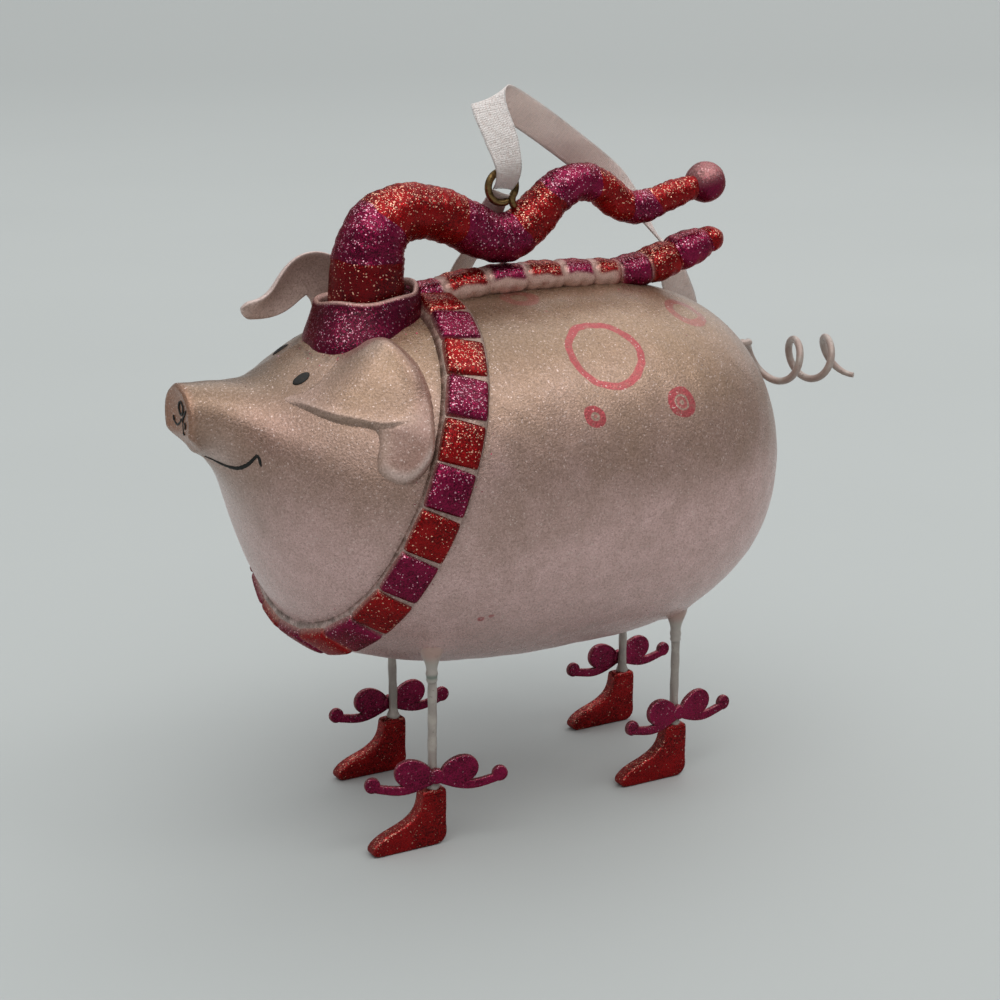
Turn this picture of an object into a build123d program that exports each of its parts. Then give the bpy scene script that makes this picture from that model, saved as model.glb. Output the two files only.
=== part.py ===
from build123d import *
import math
import os

# Pig ornament: hollow cast pig with hat and scarf, wire legs, curly wire tail, screw eye and ribbon loop.
# Millimetres. The pig faces -X and stands on z = 0, with the origin under the middle of its length.

# Body and head
figure_length = 118.4
tail_reach = 33.0
barrel_radius = 35.0
axis_height = 63.5
wall = 3.0
neck_tilt = 24.0
neck_station_share = 0.3049
neck_rise_share = 0.156

# Sections from the snout to the rump: station along the figure, rise of the centre and radius of the barrel
form_shares = [
    (0.000, 0.500, 0.177),
    (0.038, 0.480, 0.197),
    (0.071, 0.403, 0.269),
    (0.100, 0.280, 0.386),
    (0.126, 0.166, 0.506),
    (0.159, 0.071, 0.651),
    (0.201, 0.026, 0.771),
    (0.251, 0.017, 0.854),
    (0.310, 0.014, 0.914),
    (0.377, 0.009, 0.960),
    (0.494, 0.000, 0.994),
    (0.644, 0.000, 1.000),
    (0.770, 0.009, 0.977),
    (0.854, 0.020, 0.906),
    (0.916, 0.031, 0.797),
    (0.958, 0.040, 0.660),
    (0.984, 0.043, 0.490),
    (0.9967, 0.043, 0.314),
    (1.000, 0.043, 0.086),
]
cavity_first_section = 3
cavity_last_section = 15

# Ears
ear_length = 20.7
ear_depth = 27.2
ear_proud = 2.4
ear_slant = 46.0
left_ear_station_share = 0.228
left_ear_side_share = -0.571
left_ear_rise_share = 0.557
left_ear_shares = [
    (-0.522, 0.357),
    (-0.314, 0.000),
    (-0.043, -0.143),
    (-0.053, -0.401),
    (0.111, -0.533),
    (0.319, -0.496),
    (0.406, -0.338),
    (0.478, 0.066),
    (0.386, 0.301),
    (0.266, 0.467),
    (-0.019, 0.404),
    (-0.285, 0.412),
]
right_ear_reach = 19.0
right_ear_rise = 13.0
right_ear_half_width = 4.6
right_ear_half_thickness = 1.25
right_ear_station_share = 0.321
right_ear_side_share = 0.40
right_ear_foot_share = 0.84
# Along the ear: reach forward, rise, half width and half thickness
right_ear_shares = [
    (0.00, 0.00, 0.80, 1.30),
    (0.05, 0.50, 1.00, 1.20),
    (0.17, 0.86, 0.98, 1.10),
    (0.32, 0.97, 0.92, 1.05),
    (0.47, 0.84, 0.80, 1.00),
    (0.58, 0.58, 0.66, 0.95),
    (0.74, 0.36, 0.50, 0.90),
    (1.00, 0.27, 0.22, 0.60),
]

# Hat
hat_reach = 74.2
hat_height = 22.0
hat_foot_radius = 7.0
hat_station_share = 0.3134
hat_foot_share = 0.93
# Along the stocking: reach, height and radius
crown_shares = [
    (0.000, -0.139, 1.000),
    (0.000, -0.030, 1.000),
    (0.000, 0.100, 0.995),
    (0.001, 0.248, 0.980),
    (0.003, 0.370, 0.960),
    (0.009, 0.500, 0.925),
    (0.031, 0.680, 0.860),
    (0.082, 0.802, 0.780),
    (0.151, 0.820, 0.720),
    (0.225, 0.757, 0.690),
    (0.290, 0.652, 0.680),
    (0.333, 0.584, 0.665),
    (0.376, 0.548, 0.655),
    (0.429, 0.593, 0.630),
    (0.478, 0.720, 0.600),
    (0.531, 0.880, 0.560),
    (0.602, 0.975, 0.515),
    (0.671, 0.920, 0.485),
    (0.718, 0.798, 0.465),
    (0.771, 0.725, 0.455),
    (0.826, 0.743, 0.430),
    (0.889, 0.807, 0.390),
    (0.964, 0.870, 0.345),
]
pompom_radius = 4.0
pompom_height_share = 0.902
cuff_gap = 1.2
cuff_wall = 1.7
cuff_edge = 0.55
cuff_rise = 4.3
cuff_flare = 1.0
cuff_depth = 12.0
cuff_tilt = 8.0

# Scarf
collar_proud = 1.8
collar_width = 7.4
collar_edge = 0.8
collar_blocks = 24
collar_turn = 10.5
groove_width = 0.9
groove_depth = 1.1
scarf_tail_length = 65.3
scarf_half_width = 3.9
scarf_half_height = 2.7
scarf_station_share = 0.4219
# Along the scarf's tail: reach, height above the back, half width and half height
scarf_shares = [
    (0.000, 0.10, 1.00, 0.96),
    (0.092, 0.45, 1.00, 1.00),
    (0.184, 0.66, 1.00, 1.00),
    (0.276, 0.72, 1.00, 1.00),
    (0.368, 0.72, 1.00, 1.00),
    (0.460, 0.66, 0.99, 1.00),
    (0.551, 0.54, 0.97, 1.00),
    (0.643, 0.44, 0.95, 1.00),
    (0.728, 0.65, 0.90, 1.00),
    (0.804, 1.15, 0.86, 1.00),
    (0.881, 1.74, 0.82, 0.93),
    (0.950, 2.22, 0.69, 0.74),
    (1.000, 2.48, 0.33, 0.33),
]
scarf_groove_share = 0.84

# Screw eye
eye_radius = 2.9
eye_wire_radius = 0.7
eye_shank_length = 8.0
eye_lean = 36.0
eye_reach_share = 0.3813
eye_rise_share = 0.975

# Legs: station along the figure and side, then the sizes that they share
leg_side_near = 19.6
leg_side_rear_near = 14.6
leg_side_far = 16.3
legs = {
    "front_left": (0.3328, -leg_side_near),
    "front_right": (0.4190, leg_side_far),
    "rear_left": (0.8150, -leg_side_rear_near),
    "rear_right": (0.8826, leg_side_far),
}
wire_radius = 0.95
socket_tip_radius = 1.7
socket_top_radius = 3.4
socket_drop = 3.4
socket_sink = 3.0
wire_sink = 2.0
boot_length = 15.4
boot_height = 11.0
boot_thickness = 3.0
boot_bore_depth = 5.0
# Boot outline: along the foot from the wire, forward negative, and height
boot_shares = {
    "ankle_front": (-0.180, 1.000),
    "shin": (-0.235, 0.660),
    "instep": (-0.500, 0.420),
    "toe_top": (-0.800, 0.225),
    "toe": (-0.855, 0.100),
    "sole_front": (-0.810, 0.000),
    "sole_back": (0.095, 0.000),
    "heel": (0.150, 0.100),
    "heel_top": (0.145, 0.300),
    "ankle_back": (0.145, 1.000),
}
bow_half_width = 13.6
bow_thickness = 1.2
bow_rise = 2.7
bow_knot_radius = 1.7
bow_lobe_length = 4.0
bow_lobe_height = 2.2
bow_lobe_tilt = 12.0
bow_tail_width = 1.5
bow_end_radius = 1.6
bow_lobe_share = 0.35
bow_lobe_rise_share = 0.06
bow_tail_dip_share = -0.16
bow_tail_mid_share = 0.52
bow_end_rise_share = -0.045

# Tail
tail_wire_radius = 0.75
tail_radius = 4.2
tail_drop = 1.4
tail_station_share = 0.985
tail_root_share = 0.555
tail_lead_share = 0.19
# Advance of each quarter turn along the tail
tail_quarter_shares = [0.120, 0.105, 0.060, 0.060, 0.060, 0.060, 0.060, 0.060, 0.105, 0.121]
tail_socket_length = 4.5
tail_socket_root_radius = 2.6
tail_socket_tip_radius = 1.2

# Ribbon, 6.35 mm wide satin, here as a cord on its route from the eye round to the eye again
ribbon_radius = 0.6
ribbon_points = [
    (-10.35, -0.30, 117.15),
    (-10.70, -2.70, 119.60),
    (-12.10, -2.60, 126.50),
    (-14.10, -1.90, 132.60),
    (-13.30, -0.90, 135.20),
    (-8.60, 0.60, 133.60),
    (1.60, 4.20, 127.60),
    (14.20, 8.40, 120.20),
    (26.60, 11.80, 112.60),
    (34.60, 14.20, 103.20),
    (41.20, 17.60, 93.80),
    (48.60, 23.60, 85.00),
    (50.80, 30.40, 74.40),
    (46.40, 36.20, 63.60),
    (38.00, 38.40, 54.40),
    (28.40, 39.40, 50.60),
    (18.60, 40.20, 54.60),
    (9.60, 40.40, 62.80),
    (2.20, 38.60, 73.20),
    (-4.20, 33.80, 84.00),
    (-9.40, 26.20, 93.60),
    (-12.20, 17.20, 100.60),
    (-12.60, 9.20, 106.20),
    (-10.60, 4.20, 112.60),
    (-10.25, 0.35, 116.55),
]
ribbon_run_share = 0.45
knot_share = 0.605
knot_radius = 2.6
knot_tail_length = 12.0
knot_tail_width = 5.0
knot_tail_thickness = 0.8
knot_tail_spread = 24.0

overrun = 1.0

snout_x = -(figure_length + tail_reach) / 2
rump_x = snout_x + figure_length


def along(share):
    return snout_x + share * figure_length


def form_at(share):
    """Centre height and radius of the outer form at a station."""
    for low, high in zip(form_shares, form_shares[1:]):
        if low[0] <= share <= high[0]:
            part = (share - low[0]) / (high[0] - low[0])
            rise = low[1] + part * (high[1] - low[1])
            radius = low[2] + part * (high[2] - low[2])
            return axis_height + rise * barrel_radius, radius * barrel_radius


def section_plane(share):
    centre_height = form_at(share)[0]
    return Plane(origin=(along(share), 0, centre_height), x_dir=(0, 1, 0), z_dir=(1, 0, 0))


def path_planes(points):
    """Planes square to a path that lies in the middle plane of the pig, one at each point."""
    planes = []
    for index, point in enumerate(points):
        before = points[max(index - 1, 0)]
        after = points[min(index + 1, len(points) - 1)]
        planes.append(Plane(origin=point, x_dir=(0, 1, 0), z_dir=after - before))
    return planes


def finish(piece, name):
    piece.part.label = name
    export_step(piece.part, f"parts/{name}.step")


os.makedirs("parts", exist_ok=True)

# Outer form of body and head, and the hollow inside it
with BuildPart() as figure_form:
    for station, rise, radius in form_shares:
        with BuildSketch(section_plane(station)):
            Circle(radius * barrel_radius)
    loft()

with BuildPart() as figure_hollow:
    for station, rise, radius in form_shares[cavity_first_section:cavity_last_section + 1]:
        with BuildSketch(section_plane(station)):
            Circle(radius * barrel_radius - wall)
    loft()


def skin(proud):
    """The outer form swelled by a height, without its ends."""
    with BuildPart() as swelled:
        for station, rise, radius in form_shares[1:-2]:
            with BuildSketch(section_plane(station)):
                Circle(radius * barrel_radius + proud)
        loft()
    return swelled.part


neck_plane = Plane(
    origin=(along(neck_station_share), 0, axis_height + neck_rise_share * barrel_radius),
    x_dir=(0, 1, 0),
    z_dir=(-math.cos(math.radians(neck_tilt)), 0, math.sin(math.radians(neck_tilt))),
)

# Hollow body and head, glued on the slanted face under the scarf
with BuildPart() as body_shell:
    add(figure_form.part)
    add(figure_hollow.part, mode=Mode.SUBTRACT)
    split(bisect_by=neck_plane, keep=Keep.BOTTOM)
finish(body_shell, "body_shell")

with BuildPart() as head_shell:
    add(figure_form.part)
    add(figure_hollow.part, mode=Mode.SUBTRACT)
    split(bisect_by=neck_plane, keep=Keep.TOP)
finish(head_shell, "head_shell")

# Scarf: a ring of blocks round the neck, proud of body and head alike
with BuildPart() as collar_grooves:
    with BuildSketch(neck_plane):
        with PolarLocations(barrel_radius, collar_blocks, start_angle=collar_turn):
            Rectangle(barrel_radius, groove_width)
    extrude(amount=collar_width, both=True)
    add(skin(collar_proud - groove_depth), mode=Mode.SUBTRACT)

with BuildPart() as scarf_collar:
    with BuildSketch(neck_plane):
        Circle(2 * barrel_radius)
    extrude(amount=collar_width / 2, both=True)
    add(skin(collar_proud), mode=Mode.INTERSECT)
    fillet(scarf_collar.edges(), collar_edge)
    add(collar_grooves.part, mode=Mode.SUBTRACT)
    add(figure_form.part, mode=Mode.SUBTRACT)
finish(scarf_collar, "scarf_collar")

# Screw eye, leaning in the trough of the hat
hat_x = along(hat_station_share)
hat_foot = axis_height + hat_foot_share * barrel_radius
eye_centre = Vector(hat_x + eye_reach_share * hat_reach, 0, hat_foot + eye_rise_share * hat_height)
eye_down = Vector(math.sin(math.radians(eye_lean)), 0, -math.cos(math.radians(eye_lean)))
with BuildPart() as screw_eye:
    with BuildSketch(Plane(origin=eye_centre + eye_down * eye_radius, z_dir=eye_down.cross(Vector(0, 1, 0)))):
        Circle(eye_wire_radius)
    revolve(axis=Axis(eye_centre, (0, 1, 0)))
    with BuildSketch(Plane(origin=eye_centre + eye_down * eye_radius, z_dir=eye_down)):
        Circle(eye_wire_radius)
    extrude(amount=eye_shank_length)
finish(screw_eye, "screw_eye")

# Hat: pompom, stocking and turned-up cuff
pompom_centre = (hat_x + hat_reach, 0, hat_foot + pompom_height_share * hat_height)
with BuildPart() as hat_pompom:
    with Locations(pompom_centre):
        Sphere(pompom_radius)
finish(hat_pompom, "hat_pompom")

crown_points = [
    Vector(hat_x + reach * hat_reach, 0, hat_foot + height * hat_height)
    for reach, height, radius in crown_shares
]
with BuildPart() as hat_crown:
    for plane, (reach, height, radius) in zip(path_planes(crown_points), crown_shares):
        with BuildSketch(plane):
            Circle(radius * hat_foot_radius)
    loft()
    add(figure_form.part, mode=Mode.SUBTRACT)
    add(hat_pompom.part, mode=Mode.SUBTRACT)
    add(screw_eye.part, mode=Mode.SUBTRACT)
finish(hat_crown, "hat_crown")

cuff_inner = hat_foot_radius + cuff_gap
cuff_centre = Vector(hat_x, 0, hat_foot + cuff_rise)
cuff_up = Vector(-math.sin(math.radians(cuff_tilt)), 0, math.cos(math.radians(cuff_tilt)))
with BuildPart() as hat_cuff:
    with BuildSketch(Plane(origin=cuff_centre, x_dir=cuff_up.cross(Vector(0, -1, 0)), z_dir=(0, -1, 0))):
        with BuildLine():
            Polyline(
                (cuff_inner, 0),
                (cuff_inner + cuff_wall, 0),
                (cuff_inner + cuff_wall + cuff_flare, -cuff_depth),
                (cuff_inner, -cuff_depth),
                close=True,
            )
        make_face()
    revolve(axis=Axis(cuff_centre, cuff_up))
    fillet(hat_cuff.edges().group_by(Axis(cuff_centre, cuff_up))[-1], cuff_edge)
    add(figure_form.part, mode=Mode.SUBTRACT)
    add(scarf_collar.part, mode=Mode.SUBTRACT)
finish(hat_cuff, "hat_cuff")

# Scarf: the tail along the back
back_top = axis_height + barrel_radius
scarf_points = [
    Vector(along(scarf_station_share) + reach * scarf_tail_length, 0, back_top + height * scarf_half_height)
    for reach, height, half_width, half_height in scarf_shares
]
with BuildPart() as scarf_tail:
    for plane, (reach, height, half_width, half_height) in zip(path_planes(scarf_points), scarf_shares):
        with BuildSketch(plane):
            Ellipse(half_width * scarf_half_width, half_height * scarf_half_height)
    loft()
    for plane, (reach, height, half_width, half_height) in zip(
        path_planes(scarf_points)[2:-1], scarf_shares[2:-1]
    ):
        with BuildSketch(plane):
            Ellipse(half_width * scarf_half_width + overrun, half_height * scarf_half_height + overrun)
            Ellipse(
                half_width * scarf_half_width * scarf_groove_share,
                half_height * scarf_half_height * scarf_groove_share,
                mode=Mode.SUBTRACT,
            )
        extrude(amount=groove_width / 2, both=True, mode=Mode.SUBTRACT)
    add(figure_form.part, mode=Mode.SUBTRACT)
    add(scarf_collar.part, mode=Mode.SUBTRACT)
    add(hat_crown.part, mode=Mode.SUBTRACT)
finish(scarf_tail, "scarf_tail")

# Ears: one lies on the near cheek, the other stands and curls forward
slant = math.radians(ear_slant)
ear_plane = Plane(
    origin=(
        along(left_ear_station_share),
        left_ear_side_share * barrel_radius,
        axis_height + left_ear_rise_share * barrel_radius,
    ),
    x_dir=(1, 0, 0),
    z_dir=(0, -math.sin(slant), math.cos(slant)),
)
with BuildPart() as left_ear:
    with BuildSketch(ear_plane):
        with BuildLine():
            Spline(*[(u * ear_length, v * ear_depth) for u, v in left_ear_shares], periodic=True)
        make_face()
    extrude(amount=ear_depth / 2, both=True)
    add(skin(ear_proud), mode=Mode.INTERSECT)
    add(figure_form.part, mode=Mode.SUBTRACT)
    add(hat_cuff.part, mode=Mode.SUBTRACT)
    add(scarf_collar.part, mode=Mode.SUBTRACT)
finish(left_ear, "left_ear")

right_ear_points = [
    Vector(
        along(right_ear_station_share) - reach * right_ear_reach,
        right_ear_side_share * barrel_radius,
        axis_height + right_ear_foot_share * barrel_radius + rise * right_ear_rise,
    )
    for reach, rise, half_width, half_thickness in right_ear_shares
]
with BuildPart() as right_ear:
    for plane, (reach, rise, half_width, half_thickness) in zip(
        path_planes(right_ear_points), right_ear_shares
    ):
        with BuildSketch(plane):
            Ellipse(half_width * right_ear_half_width, half_thickness * right_ear_half_thickness)
    loft()
    add(figure_form.part, mode=Mode.SUBTRACT)
    add(hat_cuff.part, mode=Mode.SUBTRACT)
    add(scarf_collar.part, mode=Mode.SUBTRACT)
finish(right_ear, "right_ear")


def boot_point(name):
    along_foot, height = boot_shares[name]
    return along_foot * boot_length, height * boot_height


# Legs: cast socket, wire, boot and bow
for leg_name, (leg_share, leg_y) in legs.items():
    leg_x = along(leg_share)
    centre_height, form_radius = form_at(leg_share)
    belly = centre_height - math.sqrt(form_radius**2 - leg_y**2)
    outward = math.copysign(1, leg_y)

    with BuildPart() as leg_wire:
        with BuildSketch(Plane(origin=(leg_x, leg_y, boot_height - boot_bore_depth))):
            Circle(wire_radius)
        extrude(amount=belly + wire_sink - boot_height + boot_bore_depth)
        add(figure_form.part, mode=Mode.SUBTRACT)
    finish(leg_wire, f"leg_wire_{leg_name}")

    with BuildPart() as leg_socket:
        with BuildSketch(Plane(origin=(leg_x, leg_y, belly - socket_drop))):
            Circle(socket_tip_radius)
        with BuildSketch(Plane(origin=(leg_x, leg_y, belly + socket_sink))):
            Circle(socket_top_radius)
        loft(ruled=True)
        add(figure_form.part, mode=Mode.SUBTRACT)
        add(leg_wire.part, mode=Mode.SUBTRACT)
    finish(leg_socket, f"leg_socket_{leg_name}")

    with BuildPart() as boot:
        with BuildSketch(Plane(origin=(leg_x, leg_y, 0), x_dir=(1, 0, 0), z_dir=(0, -1, 0))):
            with BuildLine():
                Spline(*[boot_point(name) for name in ("ankle_front", "shin", "instep", "toe_top")])
                ThreePointArc(boot_point("toe_top"), boot_point("toe"), boot_point("sole_front"))
                Line(boot_point("sole_front"), boot_point("sole_back"))
                ThreePointArc(boot_point("sole_back"), boot_point("heel"), boot_point("heel_top"))
                Line(boot_point("heel_top"), boot_point("ankle_back"))
                Line(boot_point("ankle_back"), boot_point("ankle_front"))
            make_face()
        extrude(amount=boot_thickness / 2, both=True)
        add(leg_wire.part, mode=Mode.SUBTRACT)
    finish(boot, f"boot_{leg_name}")

    bow_y = leg_y + outward * (wire_radius + bow_thickness / 2)
    with BuildPart() as bow:
        bow_plane = Plane(origin=(leg_x, bow_y, boot_height + bow_rise), x_dir=(1, 0, 0), z_dir=(0, -1, 0))
        with BuildSketch(bow_plane):
            Circle(bow_knot_radius)
            for hand in (-1, 1):
                with Locations((hand * bow_lobe_share * bow_half_width, bow_lobe_rise_share * bow_half_width)):
                    Ellipse(bow_lobe_length, bow_lobe_height, rotation=hand * bow_lobe_tilt)
                bow_end = (hand * (bow_half_width - bow_end_radius), bow_end_rise_share * bow_half_width)
                with BuildLine(mode=Mode.PRIVATE) as bow_tail:
                    ThreePointArc(
                        (0, 0),
                        (hand * bow_tail_mid_share * bow_half_width, bow_tail_dip_share * bow_half_width),
                        bow_end,
                    )
                SlotArc(bow_tail.edges()[0], bow_tail_width)
                with Locations(bow_end):
                    Circle(bow_end_radius)
        extrude(amount=bow_thickness / 2, both=True)
    finish(bow, f"bow_{leg_name}")

# Tail: curls worked out a quarter turn at a time, joined by pairs of arcs
tail_root = Vector(
    along(tail_station_share), 0, axis_height + tail_root_share * barrel_radius
)
tail_tip_x = rump_x + tail_reach - tail_wire_radius
tail_length = tail_tip_x - tail_root.X
tail_axis_z = tail_root.Z - tail_radius
curl_start_x = tail_root.X + tail_lead_share * tail_length
quarter_turn = math.pi / 2


def tail_point(index):
    angle = index * quarter_turn
    forward = sum(tail_quarter_shares[:index]) * tail_length
    sag = tail_drop * forward / tail_length
    return Vector(
        curl_start_x + forward,
        tail_radius * math.sin(angle),
        tail_axis_z - sag + tail_radius * math.cos(angle),
    )


def tail_heading(index):
    angle = index * quarter_turn
    nearby = tail_quarter_shares[max(index - 1, 0):index + 1]
    advance = sum(nearby) / len(nearby) * tail_length / quarter_turn
    return Vector(
        advance,
        tail_radius * math.cos(angle),
        -tail_radius * math.sin(angle),
    ).normalized()


def biarc_joint(start, start_heading, end, end_heading):
    """Point where two equal-length tangent arcs from start to end meet."""
    span = end - start
    both = start_heading + end_heading
    square = 2 * (1 - start_heading.dot(end_heading))
    middle = span.dot(both)
    reach = (math.sqrt(middle**2 + square * span.dot(span)) - middle) / square
    return (start + start_heading * reach + end - end_heading * reach) * (1 / 2)


tail_points = [tail_root] + [tail_point(index) for index in range(len(tail_quarter_shares) + 1)]
tail_headings = [Vector(1, 0, 0)] + [tail_heading(index) for index in range(len(tail_quarter_shares) + 1)]
with BuildPart() as tail_wire:
    with BuildLine() as tail_path:
        for index in range(len(tail_points) - 1):
            joint = biarc_joint(
                tail_points[index], tail_headings[index], tail_points[index + 1], tail_headings[index + 1]
            )
            first = TangentArc(tail_points[index], joint, tangent=tail_headings[index])
            TangentArc(joint, tail_points[index + 1], tangent=first % 1)
    with BuildSketch(Plane(origin=tail_root, z_dir=(1, 0, 0))):
        Circle(tail_wire_radius)
    sweep(path=tail_path.wires()[0])
    add(figure_form.part, mode=Mode.SUBTRACT)
finish(tail_wire, "tail_wire")

samples = 400
tail_line = [tail_path.wires()[0] @ (index / samples) for index in range(samples + 1)]
skip = samples // len(tail_points)
tail_gap = min(
    (tail_line[low] - tail_line[high]).length
    for low in range(samples + 1)
    for high in range(low + 2 * skip, samples + 1)
) - 2 * tail_wire_radius
print(f"tail: least gap between curls {tail_gap:.2f} mm, wire length {tail_path.wires()[0].length:.1f} mm")

with BuildPart() as tail_socket:
    with BuildSketch(Plane(origin=tail_root - Vector(tail_socket_length, 0, 0), z_dir=(1, 0, 0))):
        Circle(tail_socket_root_radius)
    with BuildSketch(Plane(origin=tail_root + Vector(tail_socket_length, 0, 0), z_dir=(1, 0, 0))):
        Circle(tail_socket_tip_radius)
    loft(ruled=True)
    add(figure_form.part, mode=Mode.SUBTRACT)
    add(tail_wire.part, mode=Mode.SUBTRACT)
finish(tail_socket, "tail_socket")

# Ribbon loop and its knot
route = [Vector(point) for point in ribbon_points]
ribbon_radii = []
for before, corner, after in zip(route, route[1:], route[2:]):
    turn = math.radians((corner - before).get_angle(after - corner))
    shorter = min((corner - before).length, (after - corner).length)
    ribbon_radii.append(ribbon_run_share * shorter / math.tan(turn / 2))
print("ribbon bend radii", [round(radius, 1) for radius in ribbon_radii])
with BuildPart() as ribbon_loop:
    with BuildLine() as ribbon_path:
        FilletPolyline(*route, radius=ribbon_radii)
    ribbon_line = ribbon_path.wires()[0]
    with BuildSketch(Plane(origin=ribbon_line @ 0, z_dir=ribbon_line % 0)):
        Circle(ribbon_radius)
    sweep(path=ribbon_line)
finish(ribbon_loop, "ribbon_loop")
tube_volume = math.pi * ribbon_radius**2 * ribbon_line.length
print(f"ribbon: length {ribbon_line.length:.1f} mm, volume {ribbon_loop.part.volume / tube_volume:.4f} of its tube")

with BuildPart() as ribbon_knot:
    knot_centre = ribbon_line @ knot_share
    with Locations(knot_centre):
        Sphere(knot_radius)
    for hand in (-1, 1):
        with Locations(Location(knot_centre, (0, hand * knot_tail_spread, 0))):
            Box(
                knot_tail_width,
                knot_tail_thickness,
                knot_tail_length,
                align=(Align.CENTER, Align.CENTER, Align.MAX),
            )
    add(ribbon_loop.part, mode=Mode.SUBTRACT)
finish(ribbon_knot, "ribbon_knot")
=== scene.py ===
import math

import bmesh
import bpy
import numpy as np
from bpy.props import FloatProperty, FloatVectorProperty, IntProperty, PointerProperty
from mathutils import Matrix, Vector
from mathutils.bvhtree import BVHTree


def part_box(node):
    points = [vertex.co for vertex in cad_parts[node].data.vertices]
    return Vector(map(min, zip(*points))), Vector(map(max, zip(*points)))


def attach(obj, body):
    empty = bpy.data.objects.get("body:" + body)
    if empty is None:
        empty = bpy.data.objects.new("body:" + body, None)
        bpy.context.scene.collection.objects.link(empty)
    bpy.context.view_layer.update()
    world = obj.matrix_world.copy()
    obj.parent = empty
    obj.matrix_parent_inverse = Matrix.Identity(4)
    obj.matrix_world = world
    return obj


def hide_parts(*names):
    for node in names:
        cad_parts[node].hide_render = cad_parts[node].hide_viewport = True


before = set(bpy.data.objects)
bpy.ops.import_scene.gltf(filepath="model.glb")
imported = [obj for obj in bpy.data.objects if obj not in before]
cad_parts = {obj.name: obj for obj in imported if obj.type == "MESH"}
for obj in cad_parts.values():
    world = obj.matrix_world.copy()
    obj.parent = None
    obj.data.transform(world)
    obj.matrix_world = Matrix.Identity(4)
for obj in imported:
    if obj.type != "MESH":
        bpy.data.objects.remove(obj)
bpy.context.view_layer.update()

bl_info = {
    "name": "Pig ornament",
    "version": (1, 0, 0),
    "blender": (4, 5, 0),
    "location": "View3D > Sidebar > Pig",
    "description": "Dresses the packed pig ornament: pearl body, glitter hat and scarf, wire legs, tail and ribbon",
    "category": "Object",
}

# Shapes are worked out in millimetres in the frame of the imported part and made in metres
MM = 0.001

# Body and head, as in the part: station along the figure, rise of the centre and radius of the barrel
FIGURE_LENGTH = 118.4
SNOUT_X = -75.7
BARREL = 35.0
AXIS_HEIGHT = 63.5
FORM_SHARES = [
    (0.000, 0.500, 0.177), (0.038, 0.480, 0.197), (0.071, 0.403, 0.269), (0.100, 0.280, 0.386),
    (0.126, 0.166, 0.506), (0.159, 0.071, 0.651), (0.201, 0.026, 0.771), (0.251, 0.017, 0.854),
    (0.310, 0.014, 0.914), (0.377, 0.009, 0.960), (0.494, 0.000, 0.994), (0.644, 0.000, 1.000),
    (0.770, 0.009, 0.977), (0.854, 0.020, 0.906), (0.916, 0.031, 0.797), (0.958, 0.040, 0.660),
    (0.984, 0.043, 0.490), (0.9967, 0.043, 0.314), (1.000, 0.043, 0.086),
]
NECK_CENTRE = np.array([-39.60, 0.0, 68.96])
NECK_NORMAL = np.array([-math.cos(math.radians(24)), 0.0, math.sin(math.radians(24))])
LEGS = {
    "front_left": (-36.30, -19.6),
    "front_right": (-26.09, 16.3),
    "rear_left": (20.80, -14.6),
    "rear_right": (28.80, 16.3),
}

# Camera of the photograph
CAMERA_TARGET = np.array([-10.7, 0.0, 57.7])
CAMERA_DISTANCE = 400.0
CAMERA_ANGLE = 27
VIEW = np.array([0.48296, 0.83652, -0.25882])
RIGHT = np.array([0.866025, -0.5, 0.0])
UP = np.cross(RIGHT, VIEW)

EYE_CENTRE = np.array([-10.30, 0.0, 117.5])
RIBBON_COLUMNS = 13
KEYED_WIDTH = 0.00635
RIBBON_ROUTE = [
    (-10.35, -0.30, 117.15), (-11.10, -5.00, 119.80), (-12.50, -4.10, 126.40), (-13.90, -1.20, 132.50),
    (-13.10, 0.00, 134.50), (-8.60, 0.90, 133.00), (1.60, 4.20, 127.60), (14.20, 8.40, 120.20),
    (26.60, 11.80, 112.60), (34.60, 14.20, 103.20), (41.20, 17.60, 93.80), (48.60, 23.60, 85.00),
    (50.80, 30.40, 74.40), (46.40, 36.20, 63.60), (38.00, 38.40, 54.40), (28.40, 39.40, 50.60),
    (18.60, 40.20, 54.60), (9.60, 40.40, 62.80), (2.20, 38.60, 73.20), (-4.20, 33.80, 84.00),
    (-7.00, 26.20, 93.60), (-9.20, 17.20, 100.60), (-10.20, 9.20, 106.20), (-10.60, 4.20, 112.60),
    (-10.25, 0.35, 116.55),
]


# Hat: foot and scale of the stocking, foot of the cuff and the ball
HAT_X = -38.59
STOCKING_FOOT = 96.05
STOCKING_REACH = 74.2
STOCKING_RISE = 22.0
STOCKING_RADIUS = 7.0
CUFF_X = -38.6
CUFF_TOP = 100.35
CUFF_RADIUS = 10.4
BALL_CENTRE = np.array([35.61, 0.0, 115.894])
BALL_RADIUS = 4.0

# Scarf: half width of the band, size of a block, and foot and scale of the tail
BAND_HALF = 4.05
BLOCK_HALF_ALONG = 3.62
BLOCK_HALF_ACROSS = 3.92
BLOCK_TALL = 1.95
BLOCK_STEPS = 17
SCARF_X = -25.75
SCARF_HEIGHT = 98.5
SCARF_REACH = 65.3
SCARF_HALF_WIDTH = 3.9
SCARF_HALF_HEIGHT = 2.7

# Screw eye, boots, bows and the curl of the tail
EYE_RADIUS = 2.9
BOOT_LENGTH = 15.4
BOOT_HEIGHT = 11.0
BOW_HALF = 13.6
BOW_HEIGHT = 13.7
BOW_YAWS = {"front_left": -15.0, "front_right": 1.0, "rear_left": 7.0, "rear_right": 4.0}
CURL_RADIUS = 4.2
TAIL_TIP_X = 75.7

# Points of the skin: columns, rows, and rows that belong to the head
SKIN_COLUMNS = 264
SKIN_ROWS = 250
HEAD_ROWS = 130

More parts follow.
